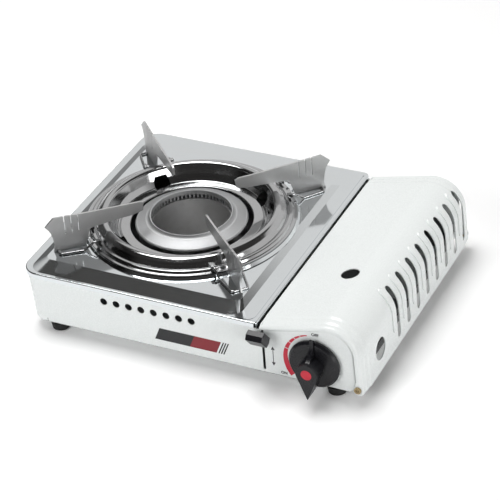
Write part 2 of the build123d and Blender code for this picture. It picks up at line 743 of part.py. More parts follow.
BRACKET_TOP = CHAMBER_BOTTOM - GAP
BRACKET_RING_R = BASE_OUT_R - 2.0
with BuildPart() as burner_bracket:
    reach = BRACKET_X - 2.0
    bracket_seat = FLOOR_TOP + GAP + SHEET / 2
    with BuildSketch(xz(RING_Y + BRACKET_HALF)):
        with BuildLine():
            FilletPolyline(
                (RING_X - reach - 14.0, bracket_seat),
                (RING_X - reach, bracket_seat),
                (RING_X - reach, BRACKET_TOP - SHEET / 2),
                (RING_X + reach, BRACKET_TOP - SHEET / 2),
                (RING_X + reach, bracket_seat),
                (RING_X + reach + 14.0, bracket_seat),
                radius=2.0,
            )
        trace(line_width=SHEET)
    extrude(amount=2 * BRACKET_HALF)
    with BuildSketch(Plane.XY.offset(BRACKET_TOP - SHEET)):
        with Locations((RING_X, RING_Y)):
            Circle(BRACKET_RING_R - 3.0)
    extrude(amount=SHEET)
    with BuildSketch(Plane.XY.offset(BRACKET_TOP - 2 * SHEET)):
        with Locations((RING_X, RING_Y)):
            Circle(WELL_R + CAST + 1.0)
    extrude(amount=3 * SHEET, mode=Mode.SUBTRACT)
    with BuildSketch(Plane.XY.offset(FLOOR_TOP)):
        with Locations(bracket_spots):
            Circle(SCREW_R)
    extrude(amount=3 * SHEET, mode=Mode.SUBTRACT)
save(burner_bracket.part, "burner_bracket")

INJ_TIP = TUBE_END + 4.0
with BuildPart() as injector:
    with BuildSketch(Plane(origin=(0, RING_Y, TUBE_Z), x_dir=(1, 0, 0), z_dir=(0, -1, 0))):
        with BuildLine():
            Polyline(
                (INJ_TIP, 0.5),
                (INJ_TIP, 2.0),
                (INJ_TIP + 4.0, 4.0),
                (PART_X - 8.0, 4.0),
                (PART_X - 8.0, 6.0),
                (PART_X - GAP, 6.0),
                (PART_X - GAP, PIPE_R + RUN),
                (PART_X - 6.0, PIPE_R + RUN),
                (PART_X - 6.0, 0.5),
                (INJ_TIP, 0.5),
            )
        make_face()
    revolve(axis=Axis((0, RING_Y, TUBE_Z), (1, 0, 0)))
save(injector.part, "injector")


def tube(points, bend, radius, label):
    """Round bar or wire along straight runs joined by arcs."""
    with BuildPart() as bar:
        with BuildLine() as route:
            FilletPolyline(*points, radius=bend)
        with BuildSketch(Plane(origin=route.line @ 0, z_dir=route.line % 0)):
            Circle(radius)
        sweep(path=route.line)
    save(bar.part, label)
    return bar.part


PIPE_Y = REG_BACK - 6.0
tube(
    (
        (KNOB_X - REG_HALF - GAP, PIPE_Y, PIPE_Z),
        (PIPE_X, PIPE_Y, PIPE_Z),
        (PIPE_X, RING_Y - 14.0, PIPE_Z),
        (PIPE_X, RING_Y, TUBE_Z),
        (PART_X - 5.0, RING_Y, TUBE_Z),
    ),
    6.0,
    PIPE_R,
    "gas_pipe",
)

# ---------------------------------------------------------------- partition
with BuildPart() as partition:
    with BuildSketch(xz(BACK_IN - FLOOR_BEND)):
        with BuildLine():
            FilletPolyline(
                (PART_X - 14.0, FLOOR_TOP + GAP + SHEET / 2),
                (PART_X + SHEET / 2, FLOOR_TOP + GAP + SHEET / 2),
                (PART_X + SHEET / 2, PART_TOP - SHEET / 2),
                (PART_X - 12.0, PART_TOP - SHEET / 2),
                radius=1.5,
            )
        trace(line_width=SHEET)
    extrude(amount=BACK_IN - FRONT_IN - 2 * FLOOR_BEND)
    with BuildSketch(yz(PART_X - 20.0)):
        with Locations((RING_Y, FLOOR_TOP)):
            Rectangle(2 * HEAT_HALF + 2.0, 6.0)
        with Locations((RING_Y, TUBE_Z)):
            Circle(PIPE_R + 0.6)
        with Locations((RING_Y - 46.0, 33.0)):
            Circle(LEAD_R + 0.6)
        with Locations(LEVER_PIVOT):
            Circle(PIVOT_R + RUN)
        with Locations([(CASE_Y + y, 34.0) for y in (70.0, 95.0)]):
            SlotOverall(18.0, 6.0)
    extrude(amount=30.0, mode=Mode.SUBTRACT)
    with BuildSketch(Plane.XY.offset(FLOOR_TOP)):
        with Locations(part_screws):
            Circle(SCREW_R)
    extrude(amount=4.0, mode=Mode.SUBTRACT)
save(partition.part, "partition")


def floor_screws(spots, seat, label):
    """Pan head screws standing in the floor, as one node."""
    with BuildPart() as screws:
        for spot in spots:
            with BuildSketch(Plane.XY.offset(FOOT_H - 1.0)):
                with Locations(spot):
                    Circle(SCREW_R)
            extrude(amount=seat - FOOT_H + 1.0)
            with BuildSketch(Plane.XY.offset(seat)):
                with Locations(spot):
                    Circle(HEAD_R)
            extrude(amount=HEAD_H)
    save(screws.part, label)


floor_screws(part_screws, FLOOR_TOP + GAP + SHEET, "partition_screws")
floor_screws(bracket_spots, FLOOR_TOP + GAP + SHEET, "bracket_screws")

# ---------------------------------------------------------------- heat plate
with BuildPart() as heat_plate:
    with BuildSketch(xz(RING_Y + HEAT_HALF)):
        with BuildLine():
            FilletPolyline(
                (8.0, FLOOR_TOP + GAP + TRAY_T / 2),
                (CART_X - TROUGH_HALF + 2.5, FLOOR_TOP + GAP + TRAY_T / 2),
                (CART_X - TROUGH_HALF + 3.5, TROUGH_TOP + GAP + TRAY_T / 2),
                (CART_X + 16.0, TROUGH_TOP + GAP + TRAY_T / 2),
                radius=1.5,
            )
        trace(line_width=TRAY_T)
    extrude(amount=2 * HEAT_HALF)
save(heat_plate.part, "heat_plate")

# ---------------------------------------------------------------- regulator group
with BuildPart() as regulator_body:
    with BuildSketch(xz(REG_BACK)):
        with Locations((KNOB_X, KNOB_Z)):
            RectangleRounded(2 * REG_HALF, REG_H, 4.0)
            Rectangle(2 * POST_R, 2 * (POST_OFFSET + POST_R))
    extrude(amount=REG_BACK - REG_FRONT)
    with BuildSketch(xz(REG_FRONT)):
        with Locations([(KNOB_X, KNOB_Z + s * POST_OFFSET) for s in (-1, 1)]):
            Circle(POST_R)
    extrude(amount=REG_FRONT - FRONT_IN - GAP)
    with BuildSketch(xz(SOCKET_BACK)):
        with Locations((CART_X, CART_Z)):
            Circle(SOCKET_R)
    extrude(amount=SOCKET_BACK - REG_BACK)
    with BuildSketch(xz(SOCKET_BACK)):
        with Locations((CART_X, CART_Z)):
            Circle(INLET_R + 2 * RUN)
    extrude(amount=10.0, mode=Mode.SUBTRACT)
    with BuildSketch(xz(REG_FRONT)):
        with Locations((KNOB_X, KNOB_Z)):
            Circle(SHAFT_R + RUN)
    extrude(amount=-8.0, mode=Mode.SUBTRACT)
    with BuildSketch(xz(FRONT_IN + GAP)):
        with Locations([(KNOB_X, KNOB_Z + s * POST_OFFSET) for s in (-1, 1)]):
            Circle(SCREW_R)
    extrude(amount=-10.0, mode=Mode.SUBTRACT)
save(regulator_body.part, "regulator_body")

with BuildPart() as diaphragm_cap:
    cap_x = KNOB_X + REG_HALF + GAP
    cap_y = (REG_FRONT + REG_BACK) / 2
    with BuildSketch(yz(cap_x)):
        with Locations((cap_y, KNOB_Z)):
            Circle(17.0)
    extrude(amount=3.0)
    with BuildSketch(yz(cap_x + 3.0)):
        with Locations((cap_y, KNOB_Z)):
            Circle(13.0)
    extrude(amount=5.0, taper=15)
    fillet(diaphragm_cap.edges().group_by(Axis.X)[-1], 1.5)
    with BuildSketch(yz(cap_x + 9.0)):
        with Locations((cap_y, KNOB_Z)):
            Circle(3.0)
    extrude(amount=-3.0, mode=Mode.SUBTRACT)
save(diaphragm_cap.part, "diaphragm_cap")

with BuildPart() as gas_inlet:
    with BuildSketch(xz(SOCKET_BACK + 5.0)):
        with Locations((CART_X, CART_Z)):
            Circle(INLET_R)
            Circle(INLET_BORE, mode=Mode.SUBTRACT)
    extrude(amount=12.0)
    with BuildSketch(xz(SOCKET_BACK + 5.0)):
        with Locations((CART_X, CART_Z)):
            Circle(INLET_R - INLET_BORE)
            Circle(INLET_BORE, mode=Mode.SUBTRACT)
    extrude(amount=-2.0)
save(gas_inlet.part, "gas_inlet")

with BuildPart() as regulator_screws:
    with BuildSketch(xz(FRONT)):
        with Locations([(KNOB_X, KNOB_Z + s * POST_OFFSET) for s in (-1, 1)]):
            Circle(SCREW_R)
    extrude(amount=-8.0)
    with BuildSketch(xz(FRONT)):
        with Locations([(KNOB_X, KNOB_Z + s * POST_OFFSET) for s in (-1, 1)]):
            Circle(HEAD_R)
    extrude(amount=HEAD_H)
save(regulator_screws.part, "regulator_screws")

with BuildPart() as cartridge_guide:
    with BuildSketch(xz(GUIDE_Y)):
        with BuildLine():
            Polyline(
                (CART_X - 30.0, FLOOR_TOP + GAP),
                (CART_X - 30.0, 60.0),
                (CART_X - 20.0, 68.0),
                (CART_X + 16.0, 68.0),
                (CART_X + 23.0, 61.0),
                (CART_X + 23.0, FLOOR_TOP + GAP),
                close=True,
            )
        make_face()
        with Locations((CART_X, CART_Z)):
            Circle(12.0, mode=Mode.SUBTRACT)
        with Locations((CART_X, CART_Z + 20.0)):
            SlotOverall(18.0, 5.0, rotation=90, mode=Mode.SUBTRACT)
    extrude(amount=-1.2)
    with BuildSketch(Plane.XY.offset(FLOOR_TOP + GAP)):
        with Locations((CART_X - 3.5, GUIDE_Y - 4.0)):
            Rectangle(50.0, 8.0)
    extrude(amount=1.2)
save(cartridge_guide.part, "cartridge_guide")

# ---------------------------------------------------------------- shaft, cam and knob
with BuildPart() as valve_shaft:
    with BuildSketch(xz(REG_FRONT + 7.5)):
        with Locations((KNOB_X, KNOB_Z)):
            Circle(SHAFT_R)
    extrude(amount=REG_FRONT + 7.5 - KNOB_FACE - 6.0)
save(valve_shaft.part, "valve_shaft")

CAM_STEPS = 9
CAM_START = 60.0
CAM_TURN = 120.0


def cam_point(radius, angle):
    """Point of the cam's outline at a radius and angle round the shaft."""
    return (KNOB_X + radius * cos(radians(angle)), KNOB_Z + radius * sin(radians(angle)))


cam_rise = [
    cam_point(CAM_BIG - (CAM_BIG - CAM_SMALL) * i / CAM_STEPS, CAM_START + CAM_TURN * i / CAM_STEPS)
    for i in range(CAM_STEPS + 1)
]
with BuildPart() as igniter_cam:
    with BuildSketch(xz(CAM_Y + CAM_W / 2)):
        with BuildLine():
            Spline(*cam_rise)
            ThreePointArc(cam_rise[-1], cam_point(CAM_SMALL, 300.0), cam_point(CAM_SMALL, CAM_START))
            Line(cam_point(CAM_SMALL, CAM_START), cam_rise[0])
        make_face()
        with Locations((KNOB_X, KNOB_Z)):
            Circle(SHAFT_R + RUN, mode=Mode.SUBTRACT)
    extrude(amount=CAM_W)
save(igniter_cam.part, "igniter_cam")

with BuildPart() as knob:
    knob_axis = Axis((KNOB_X, 0, KNOB_Z), (0, 1, 0))
    with BuildSketch(Plane(origin=(KNOB_X, 0, KNOB_Z), x_dir=(1, 0, 0), z_dir=(0, 0, 1))):
        with BuildLine():
            Polyline(
                (0.0, KNOB_BACK),
                (KNOB_R - 1.0, KNOB_BACK),
                (KNOB_R, KNOB_BACK - 1.0),
                (KNOB_R, KNOB_BACK - 3.0),
                (KNOB_R - 2.0, KNOB_BACK - KNOB_DISC),
                (12.0, KNOB_BACK - KNOB_DISC - 0.6),
                (0.0, KNOB_BACK - KNOB_DISC - 0.6),
                close=True,
            )
        make_face()
    revolve(axis=knob_axis)
    with BuildSketch(xz(KNOB_BACK - 2.0)):
        with Locations((KNOB_X, KNOB_Z)):
            Circle(BOSS_R)
        touch_z = KNOB_Z - BOSS_R * BOSS_R / POINTER
        touch_x = BOSS_R * (1 - (BOSS_R / POINTER) ** 2) ** 0.5
        with BuildLine():
            Polyline(
                (KNOB_X - touch_x, touch_z),
                (KNOB_X, KNOB_Z - POINTER),
                (KNOB_X + touch_x, touch_z),
                close=True,
            )
        make_face()
    extrude(amount=KNOB_BACK - 2.0 - KNOB_FACE)
    fin_root = KNOB_BACK - KNOB_DISC
    with BuildSketch(yz(KNOB_X - FIN_W / 2)):
        with BuildLine():
            Polyline(
                (KNOB_FACE + 0.5, KNOB_Z + BOSS_R - 1.0),
                (KNOB_FACE + 0.5, KNOB_Z),
                (fin_root + 2.0, KNOB_Z),
                (fin_root + 2.0, KNOB_Z + KNOB_R),
                (fin_root + 1.0, KNOB_Z + POINTER),
                (fin_root - 1.0, KNOB_Z + POINTER),
            )
            ThreePointArc(
                (fin_root - 1.0, KNOB_Z + POINTER),
                (fin_root - 4.6, KNOB_Z + BOSS_R + 4.4),
                (KNOB_FACE + 0.5, KNOB_Z + BOSS_R - 1.0),
            )
        make_face()
    extrude(amount=FIN_W)
    with BuildSketch(xz(KNOB_BACK)):
        with Locations((KNOB_X, KNOB_Z)):
            Circle(KNOB_R - 1.8)
            Circle(6.5, mode=Mode.SUBTRACT)
    extrude(amount=2.4, mode=Mode.SUBTRACT)
    with BuildSketch(xz(KNOB_BACK)):
        with Locations((KNOB_X, KNOB_Z)):
            Circle(SHAFT_R + RUN)
    extrude(amount=KNOB_BACK - KNOB_FACE - 5.0, mode=Mode.SUBTRACT)
    with BuildSketch(xz(KNOB_FACE + DOT_T)):
        with Locations((KNOB_X, KNOB_Z)):
            Circle(DOT_R + RUN)
    extrude(amount=DOT_T + 1, mode=Mode.SUBTRACT)
save(knob.part, "knob")

with BuildPart() as knob_insert:
    with BuildSketch(xz(KNOB_FACE + DOT_T)):
        with Locations((KNOB_X, KNOB_Z)):
            Circle(DOT_R)
    extrude(amount=DOT_T)
save(knob_insert.part, "knob_insert")

# ---------------------------------------------------------------- lever group
pivot_y, pivot_z = LEVER_PIVOT
knob_y, knob_z = LEVER_KNOB
lever_rise = degrees(atan2(knob_z - pivot_z, pivot_y - knob_y))
lever_length = hypot(knob_z - pivot_z, pivot_y - knob_y)
drive_y = pivot_y + DRIVE_R * sin(radians(DRIVE_TURN))
drive_z = pivot_z + DRIVE_R * cos(radians(DRIVE_TURN))
with BuildPart() as lever_arm:
    with BuildSketch(yz(LEVER_X - LEVER_T / 2)):
        with Locations(Pos(pivot_y, pivot_z) * Rot(0, 0, -lever_rise)):
            with Locations((-lever_length / 2, 0)):
                Rectangle(lever_length, LEVER_ARM_H)
        with Locations(LEVER_PIVOT):
            Circle(7.0)
        with BuildLine():
            Polyline(
                (pivot_y - 4.0, pivot_z),
                (drive_y - 4.5, drive_z),
                (drive_y + 4.5, drive_z),
                (pivot_y + 6.5, pivot_z),
                close=True,
            )
        make_face()
        with Locations((drive_y, drive_z)):
            Circle(4.5)
        with Locations(LEVER_PIVOT):
            Circle(PIVOT_R + RUN, mode=Mode.SUBTRACT)
    extrude(amount=LEVER_T)
    with BuildSketch(yz(LEVER_X + LEVER_T / 2)):
        with Locations((drive_y, drive_z)):
            Circle(DRIVE_PIN_R)
    extrude(amount=5.0)
save(lever_arm.part, "lever_arm")

with BuildPart() as lever_knob:
    corners = [
        (knob_y + along * cos(radians(LEVER_KNOB_TILT)) - up * sin(radians(LEVER_KNOB_TILT)),
         knob_z + along * sin(radians(LEVER_KNOB_TILT)) + up * cos(radians(LEVER_KNOB_TILT)))
        for along, up in (
            (LEVER_KNOB_FLAT, LEVER_KNOB_THICK),
            (-LEVER_KNOB_FLAT, LEVER_KNOB_THICK),
            (-LEVER_KNOB_HALF, 0.0),
            (-LEVER_KNOB_FLAT, -LEVER_KNOB_THICK),
            (LEVER_KNOB_FLAT, -LEVER_KNOB_THICK),
            (LEVER_KNOB_HALF, 0.0),
        )
    ]
    with BuildSketch(yz(LEVER_X - LEVER_KNOB_W / 2)):
        with BuildLine():
            Polyline(*corners, close=True)
        make_face()
    extrude(amount=LEVER_KNOB_W)
    chamfer(lever_knob.edges().group_by(Axis.X)[0] + lever_knob.edges().group_by(Axis.X)[-1], 0.6)
    with BuildSketch(yz(LEVER_X - LEVER_T / 2 - RUN)):
        with Locations(Pos(pivot_y, pivot_z) * Rot(0, 0, -lever_rise)):
            with Locations((-lever_length + LEVER_SOCKET / 2 - RUN, 0)):
                Rectangle(LEVER_SOCKET, LEVER_ARM_H + 2 * RUN)
    extrude(amount=LEVER_T + 2 * RUN, mode=Mode.SUBTRACT)
save(lever_knob.part, "lever_knob")

with BuildPart() as lever_pivot:
    with BuildSketch(Plane(origin=(0, pivot_y, pivot_z), x_dir=(1, 0, 0), z_dir=(0, -1, 0))):
        with BuildLine():
            Polyline(
                (PART_X - 1.5, 0.0),
                (PART_X - 1.5, 4.5),
                (PART_X - GAP, 4.5),
                (PART_X - GAP, PIVOT_R),
                (PART_X + SHEET + GAP, PIVOT_R),
                (PART_X + SHEET + GAP, 4.5),
                (LEVER_X - LEVER_T / 2 - GAP, 4.5),
                (LEVER_X - LEVER_T / 2 - GAP, PIVOT_R),
                (LEVER_X + LEVER_T / 2 + GAP, PIVOT_R),
                (LEVER_X + LEVER_T / 2 + GAP, 4.0),
                (LEVER_X + LEVER_T / 2 + GAP + 1.0, 4.0),
                (LEVER_X + LEVER_T / 2 + GAP + 1.0, 0.0),
                close=True,
            )
        make_face()
    revolve(axis=Axis((0, pivot_y, pivot_z), (1, 0, 0)))
save(lever_pivot.part, "lever_pivot")

SLIDE_X = 78.0
SLIDE_T = 1.2
SLIDE_FRONT = LEVER_PIVOT[0] - 19.0
SLIDE_BACK = LEVER_PIVOT[0] + 39.0
SLIDE_LOW = 44.0
SLIDE_HIGH = 58.5
FINGER_X = CART_X - 31.7
FINGER_Y = LEVER_PIVOT[0] + 7.5
with BuildPart() as lock_slide:
    with BuildSketch(yz(SLIDE_X)):
        with Locations(((SLIDE_FRONT + SLIDE_BACK) / 2, (SLIDE_LOW + SLIDE_HIGH) / 2)):
            RectangleRounded(SLIDE_BACK - SLIDE_FRONT, SLIDE_HIGH - SLIDE_LOW, 1.5)
        with Locations((drive_y, drive_z + 0.1)):
            SlotOverall(9.0, 2 * DRIVE_PIN_R + 0.2, rotation=90, mode=Mode.SUBTRACT)
    extrude(amount=SLIDE_T)
    with BuildSketch(xz(FINGER_Y + SLIDE_T)):
        with Locations(((SLIDE_X + FINGER_X) / 2, (SLIDE_LOW + SLIDE_HIGH) / 2 - 1.25)):
            Rectangle(FINGER_X - SLIDE_X, 11.0)
    extrude(amount=SLIDE_T)
save(lock_slide.part, "lock_slide")

with BuildPart() as slide_guide:
    guide_left = PART_X + SHEET + GAP
    guide_right = SLIDE_X + SLIDE_T + 1.6
    web_top = COVER_LIP - 1.0
    web_right = SLIDE_X - 1.5
    with BuildSketch(xz(SLIDE_BACK - 6.0)):
        with BuildLine():
            Polyline(
                (guide_left, SLIDE_LOW - 2.0),
                (guide_right, SLIDE_LOW - 2.0),
                (guide_right, SLIDE_HIGH + 1.8),
                (web_right, SLIDE_HIGH + 1.8),
                (web_right, web_top),
                (guide_left, web_top),
                close=True,
            )
        make_face()
        with Locations((SLIDE_X + SLIDE_T / 2, (SLIDE_LOW + SLIDE_HIGH) / 2)):
            Rectangle(SLIDE_T + 0.2, SLIDE_HIGH - SLIDE_LOW + 0.2, mode=Mode.SUBTRACT)
        with Locations((guide_left + 3.6, (SLIDE_LOW + web_top) / 2 - 0.5)):
            Rectangle(4.6, web_top - SLIDE_LOW - 2.5, mode=Mode.SUBTRACT)
    extrude(amount=16.0)
save(slide_guide.part, "slide_guide")

# ---------------------------------------------------------------- igniter
with BuildPart() as igniter_body:
    with BuildSketch(yz(IGN_X[0])):
        with Locations(((IGN_Y[0] + IGN_Y[1]) / 2, (IGN_Z[0] + IGN_Z[1]) / 2)):
            RectangleRounded(IGN_Y[1] - IGN_Y[0], IGN_Z[1] - IGN_Z[0], 2.0)
    extrude(amount=IGN_X[1] - IGN_X[0])
    with BuildSketch(Plane.XY.offset(FLOOR_TOP + GAP)):
        with Locations((IGN_SCREW_X, CAM_Y)):
            Rectangle(12.0, 8.0)
    extrude(amount=IGN_Z[0] - FLOOR_TOP + 1.0)
    with BuildSketch(yz(IGN_X[1])):
        with Locations((CAM_Y, KNOB_Z)):
            Circle(PLUNGER_R + RUN)
    extrude(amount=-18.0, mode=Mode.SUBTRACT)
    with BuildSketch(Plane.XY.offset(FLOOR_TOP)):
        with Locations((IGN_SCREW_X, CAM_Y)):
            Circle(SCREW_R)
    extrude(amount=8.0, mode=Mode.SUBTRACT)
save(igniter_body.part, "igniter_body")

with BuildPart() as igniter_screw:
    with BuildSketch(Plane.XY.offset(FOOT_H - HEAD_H)):
        with Locations((IGN_SCREW_X, CAM_Y)):
            Circle(HEAD_R)
    extrude(amount=HEAD_H)
    with BuildSketch(Plane.XY.offset(FOOT_H)):
        with Locations((IGN_SCREW_X, CAM_Y)):
            Circle(SCREW_R)
    extrude(amount=7.0)
save(igniter_screw.part, "igniter_screw")

with BuildPart() as igniter_plunger:
    with BuildSketch(yz(KNOB_X - CAM_SMALL - GAP)):
        with Locations((CAM_Y, KNOB_Z)):
            Circle(PLUNGER_R)
    extrude(amount=-20.0)
    fillet(igniter_plunger.edges().group_by(Axis.X)[-1], 1.2)
save(igniter_plunger.part, "igniter_plunger")

tip_x, tip_y = polar(BORE_R - 3.0, ELECTRODE_TURN)
with BuildPart() as electrode_ceramic:
    with BuildSketch(Plane.XY.offset(WELL_BOTTOM - 6.0)):
        with Locations((electrode_x, electrode_y)):
            Circle(CERAMIC_R)
    extrude(amount=CERAMIC_TOP - WELL_BOTTOM + 6.0)
    with BuildSketch(Plane.XY.offset(WELL_BOTTOM)):
        with Locations((electrode_x, electrode_y)):
            Circle(CERAMIC_R + 1.5)
    extrude(amount=3.0)
    with BuildSketch(Plane.XY.offset(WELL_BOTTOM - 6.0)):
        with Locations((electrode_x, electrode_y)):
            Circle(LEAD_R + RUN)
    extrude(amount=6.0, mode=Mode.SUBTRACT)
save(electrode_ceramic.part, "electrode_ceramic")
tube(
    (
        (electrode_x, electrode_y, CERAMIC_TOP),
        (electrode_x, electrode_y, RING_BOTTOM),
        (tip_x, tip_y, RING_BOTTOM + 1.5),
    ),
    1.5,
    0.8,
    "electrode_tip",
)

# ---------------------------------------------------------------- pan supports, wire loops, lugs
for number, angle in enumerate(ARM_ANGLES):
    with BuildPart() as support:
        with BuildSketch(arm_plane(angle, ARM_BASE)):
            with BuildLine():
                Polyline(*[(ARM_FOOT_R + reach, up) for reach, up in ARM_PROFILE], close=True)
            make_face()
            for reach in NICKS:
                with Locations((ARM_FOOT_R + reach, ARM_H - 2.0 - NICK_D / 2 + 1.5)):
                    Rectangle(NICK_W, NICK_D + 3.0, mode=Mode.SUBTRACT)
            with Locations((WIRE_OUT_R, 1.0)):
                Rectangle(2 * WIRE_R + 2 * RUN, 2.3, mode=Mode.SUBTRACT)
        extrude(amount=ARM_T / 2, both=True)
    save(support.part, f"pan_support_{number + 1}")

    plane = arm_plane(angle, 0.0)
    lug_half, mid_half, out_half = WIRE_HALVES
    route = []
    for side in (-1, 1):
        leg = [
            (LUG_R, WIRE_HIGH_Z, side * lug_half),
            (LUG_R + 4.5, WIRE_HIGH_Z, side * (lug_half - 0.2)),
            (ARM_FOOT_R + 5.0, WIRE_Z, side * mid_half),
            (WIRE_OUT_R, WIRE_Z, side * out_half),
        ]
        route += leg if side < 0 else leg[::-1]
    tube([plane.from_local_coords(p) for p in route], 2.5, WIRE_R, f"wire_loop_{number + 1}")

with BuildPart() as support_lugs:
    for angle in ARM_ANGLES:
        for side in (-1, 1):
            with BuildSketch(arm_plane(angle, 0.0).offset(side * lug_half - LUG_SIZE[1] / 2)):
                with Locations((LUG_R, LUG_Z + LUG_SIZE[2] / 2)):
                    RectangleRounded(LUG_SIZE[0], LUG_SIZE[2], 0.8)
            extrude(amount=LUG_SIZE[1])
    for angle in ARM_ANGLES:
        for side in (-1, 1):
            place = arm_plane(angle, 0.0)
            start = place.from_local_coords((LUG_R - 1.0, WIRE_HIGH_Z, side * lug_half))
            out = place.from_local_coords((LUG_R + 4.5, WIRE_HIGH_Z, side * (lug_half - 0.2)))
            with BuildSketch(Plane(origin=start, z_dir=out - start)):
                Circle(WIRE_R + RUN)
            extrude(amount=8.0, mode=Mode.SUBTRACT)
save(support_lugs.part, "support_lugs")

# ---------------------------------------------------------------- cover
vent_ys = [VENT_FIRST_Y + VENT_PITCH * i for i in range(VENTS)]


def cover_block(inset, rounding, left, bottom):
    """Solid under the cover's stepped outline, its front and back edges rounded."""
    ends = [(depth + inset if depth == 0.0 else depth, drop) for depth, drop in BANDS]
    sections = [(COVER_FRONT + depth, drop) for depth, drop in ends]
    sections += [(COVER_BACK - depth, drop) for depth, drop in reversed(ends)]
    with BuildPart(mode=Mode.PRIVATE) as block:
        for y, drop in sections:
            start, corner, side = arch(inset + drop, left, bottom)
            with BuildSketch(xz(y)):
                with BuildLine():
                    FilletPolyline(start, corner, side, radius=COVER_ARC - inset - drop)
                    Polyline(side, (start[0], bottom), start)
                make_face()
        loft(ruled=True)
        faces = (sections[0][0], sections[-1][0])
        rims = block.edges().filter_by(lambda e: min(abs(e.center().Y - y) for y in faces) < 0.1)
        rims = rims.filter_by(lambda e: e.center().Z > bottom + 0.1 and e.center().X > left + 0.1)
        fillet(rims, rounding)
    return block.part


with BuildPart() as cover:
    add(cover_block(0.0, COVER_ROUND, COVER_X - 12.0, COVER_FOOT[1]))
    add(cover_block(SHEET, COVER_ROUND - SHEET, COVER_X - 20.0, COVER_FOOT[1] - 5.0), mode=Mode.SUBTRACT)
    with BuildSketch(xz(COVER_BACK + 1)):
        with Locations((COVER_X - 20.0, 50.0)):
            Rectangle(40.0, 120.0)
    extrude(amount=2 * COVER_HALF + 2, mode=Mode.SUBTRACT)
    # side opening left by the flanges
    with BuildSketch(xz(COVER_BACK + 1)):
        start, corner, side = arch(FLANGE_ROOF, COVER_X - 5.0, 0.0, FLANGE_SIDE)
        with BuildLine():
            FilletPolyline(start, corner, side, radius=COVER_ARC - FLANGE_SIDE)
            Polyline(side, (start[0], 0.0), start)
        make_face()
    extrude(amount=2 * COVER_HALF + 2, mode=Mode.SUBTRACT)
    for outer in (COVER_FRONT + SHEET, COVER_BACK):
        with BuildSketch(xz(outer)):
            with Locations((HINGE_X, HINGE_Z)):
                Circle(HINGE_TAB)
            start, corner, side = arch(SHEET / 2 + BANDS[0][1], COVER_X, COVER_FOOT[1])
            with BuildLine():
                Polyline(
                    side,
                    (side[0] - 3.0, COVER_FOOT[1]),
                    (HINGE_X - HINGE_TAB, HINGE_Z),
                    (HINGE_X - 1.0, HINGE_Z + 10.0),
                    (side[0] - 4.0, HINGE_Z + 12.0),
                    close=True,
                )
            make_face()
            with Locations((HINGE_X, HINGE_Z)):
                Circle(HINGE_R + RUN, mode=Mode.SUBTRACT)
        extrude(amount=SHEET)
    for outer in (COVER_FRONT + 6.0, COVER_BACK):
        with BuildSketch(xz(outer)):
            with Locations((HINGE_X, HINGE_Z)):
                Circle(HINGE_R + RUN)
        extrude(amount=6.0, mode=Mode.SUBTRACT)
    lip_top = arch(SHEET, COVER_X, 0.0)[0][1]
    with BuildSketch(yz(COVER_X)):
        with Locations((CASE_Y, (COVER_LIP + lip_top + 0.5) / 2)):
            Rectangle(2 * (COVER_HALF - COVER_ROUND), lip_top + 0.5 - COVER_LIP)
    extrude(amount=SHEET)
    # pressed ribs beside the slots
    with BuildPart(mode=Mode.PRIVATE) as ribs:
        with BuildSketch(xz(COVER_BACK - BANDS[-1][0])):
            with BuildLine():
                FilletPolyline(*arch(SHEET / 2 - RIB_H, COVER_CORNER[0] - 60.0, HINGE_Z), radius=COVER_ARC)
            trace(line_width=SHEET)
        extrude(amount=2 * (COVER_HALF - BANDS[-1][0]))
        with BuildSketch(yz(COVER_CORNER[0] - 26.0)):
            with Locations([(y + RIB_SHIFT, (RIB_BOTTOM + RIB_TOP) / 2) for y in vent_ys]):
                SlotOverall(RIB_TOP - RIB_BOTTOM, RIB_W, rotation=90)
        extrude(amount=40.0, mode=Mode.INTERSECT)
    add(ribs.part)
    with BuildSketch(yz(150.0)):
        with Locations([(y, (VENT_TOP + VENT_BOTTOM) / 2) for y in vent_ys]):
            SlotOverall(VENT_TOP - VENT_BOTTOM, VENT_W, rotation=90)
        with Locations(SIDE_HOLE):
            Circle(SIDE_HOLE_R)
    extrude(amount=30.0, mode=Mode.SUBTRACT)
    with BuildSketch(Plane.XY.offset(60.0)):
        with Locations(ROOF_HOLE):
            Circle(ROOF_HOLE_R)
    extrude(amount=30.0, mode=Mode.SUBTRACT)
save(cover.part, "cover")

RIVET_H = 0.8
with BuildPart() as hinge_screws:
    for face, way, head in ((COVER_FRONT, 1, HEAD_H), (COVER_BACK, -1, RIVET_H)):
        with BuildSketch(xz(face - way * RUN)):
            with Locations((HINGE_X, HINGE_Z)):
                Circle(HEAD_R + 0.25)
        extrude(amount=way * head)
        with BuildSketch(xz(face - way * RUN)):
            with Locations((HINGE_X, HINGE_Z)):
                Circle(HINGE_R)
        extrude(amount=-way * 5.5)
    with BuildSketch(xz(COVER_FRONT - RUN - HEAD_H)):
        with Locations((HINGE_X, HINGE_Z)):
            Rectangle(4.4, 0.9)
            Rectangle(0.9, 4.4)
    extrude(amount=-0.8, mode=Mode.SUBTRACT)
save(hinge_screws.part, "hinge_screws")

with BuildPart() as cover_buffers:
    for y in (CASE_Y - 90.0, CASE_Y + 90.0):
        with BuildSketch(xz(y + 6.0)):
            with BuildLine():
                Polyline(
                    (PART_X + SHEET + GAP, RIM_TOP - 12.0),
                    (PART_X + SHEET + GAP, COVER_LIP - GAP),
                    (75.0, COVER_LIP - GAP),
                    (75.0, RIM_TOP - 12.0),
                    close=True,
                )
            make_face()
        extrude(amount=12.0)
save(cover_buffers.part, "cover_buffers")
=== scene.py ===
import json
import logging
import math
from dataclasses import dataclass
from enum import Enum

import bpy
from mathutils import Matrix, Vector


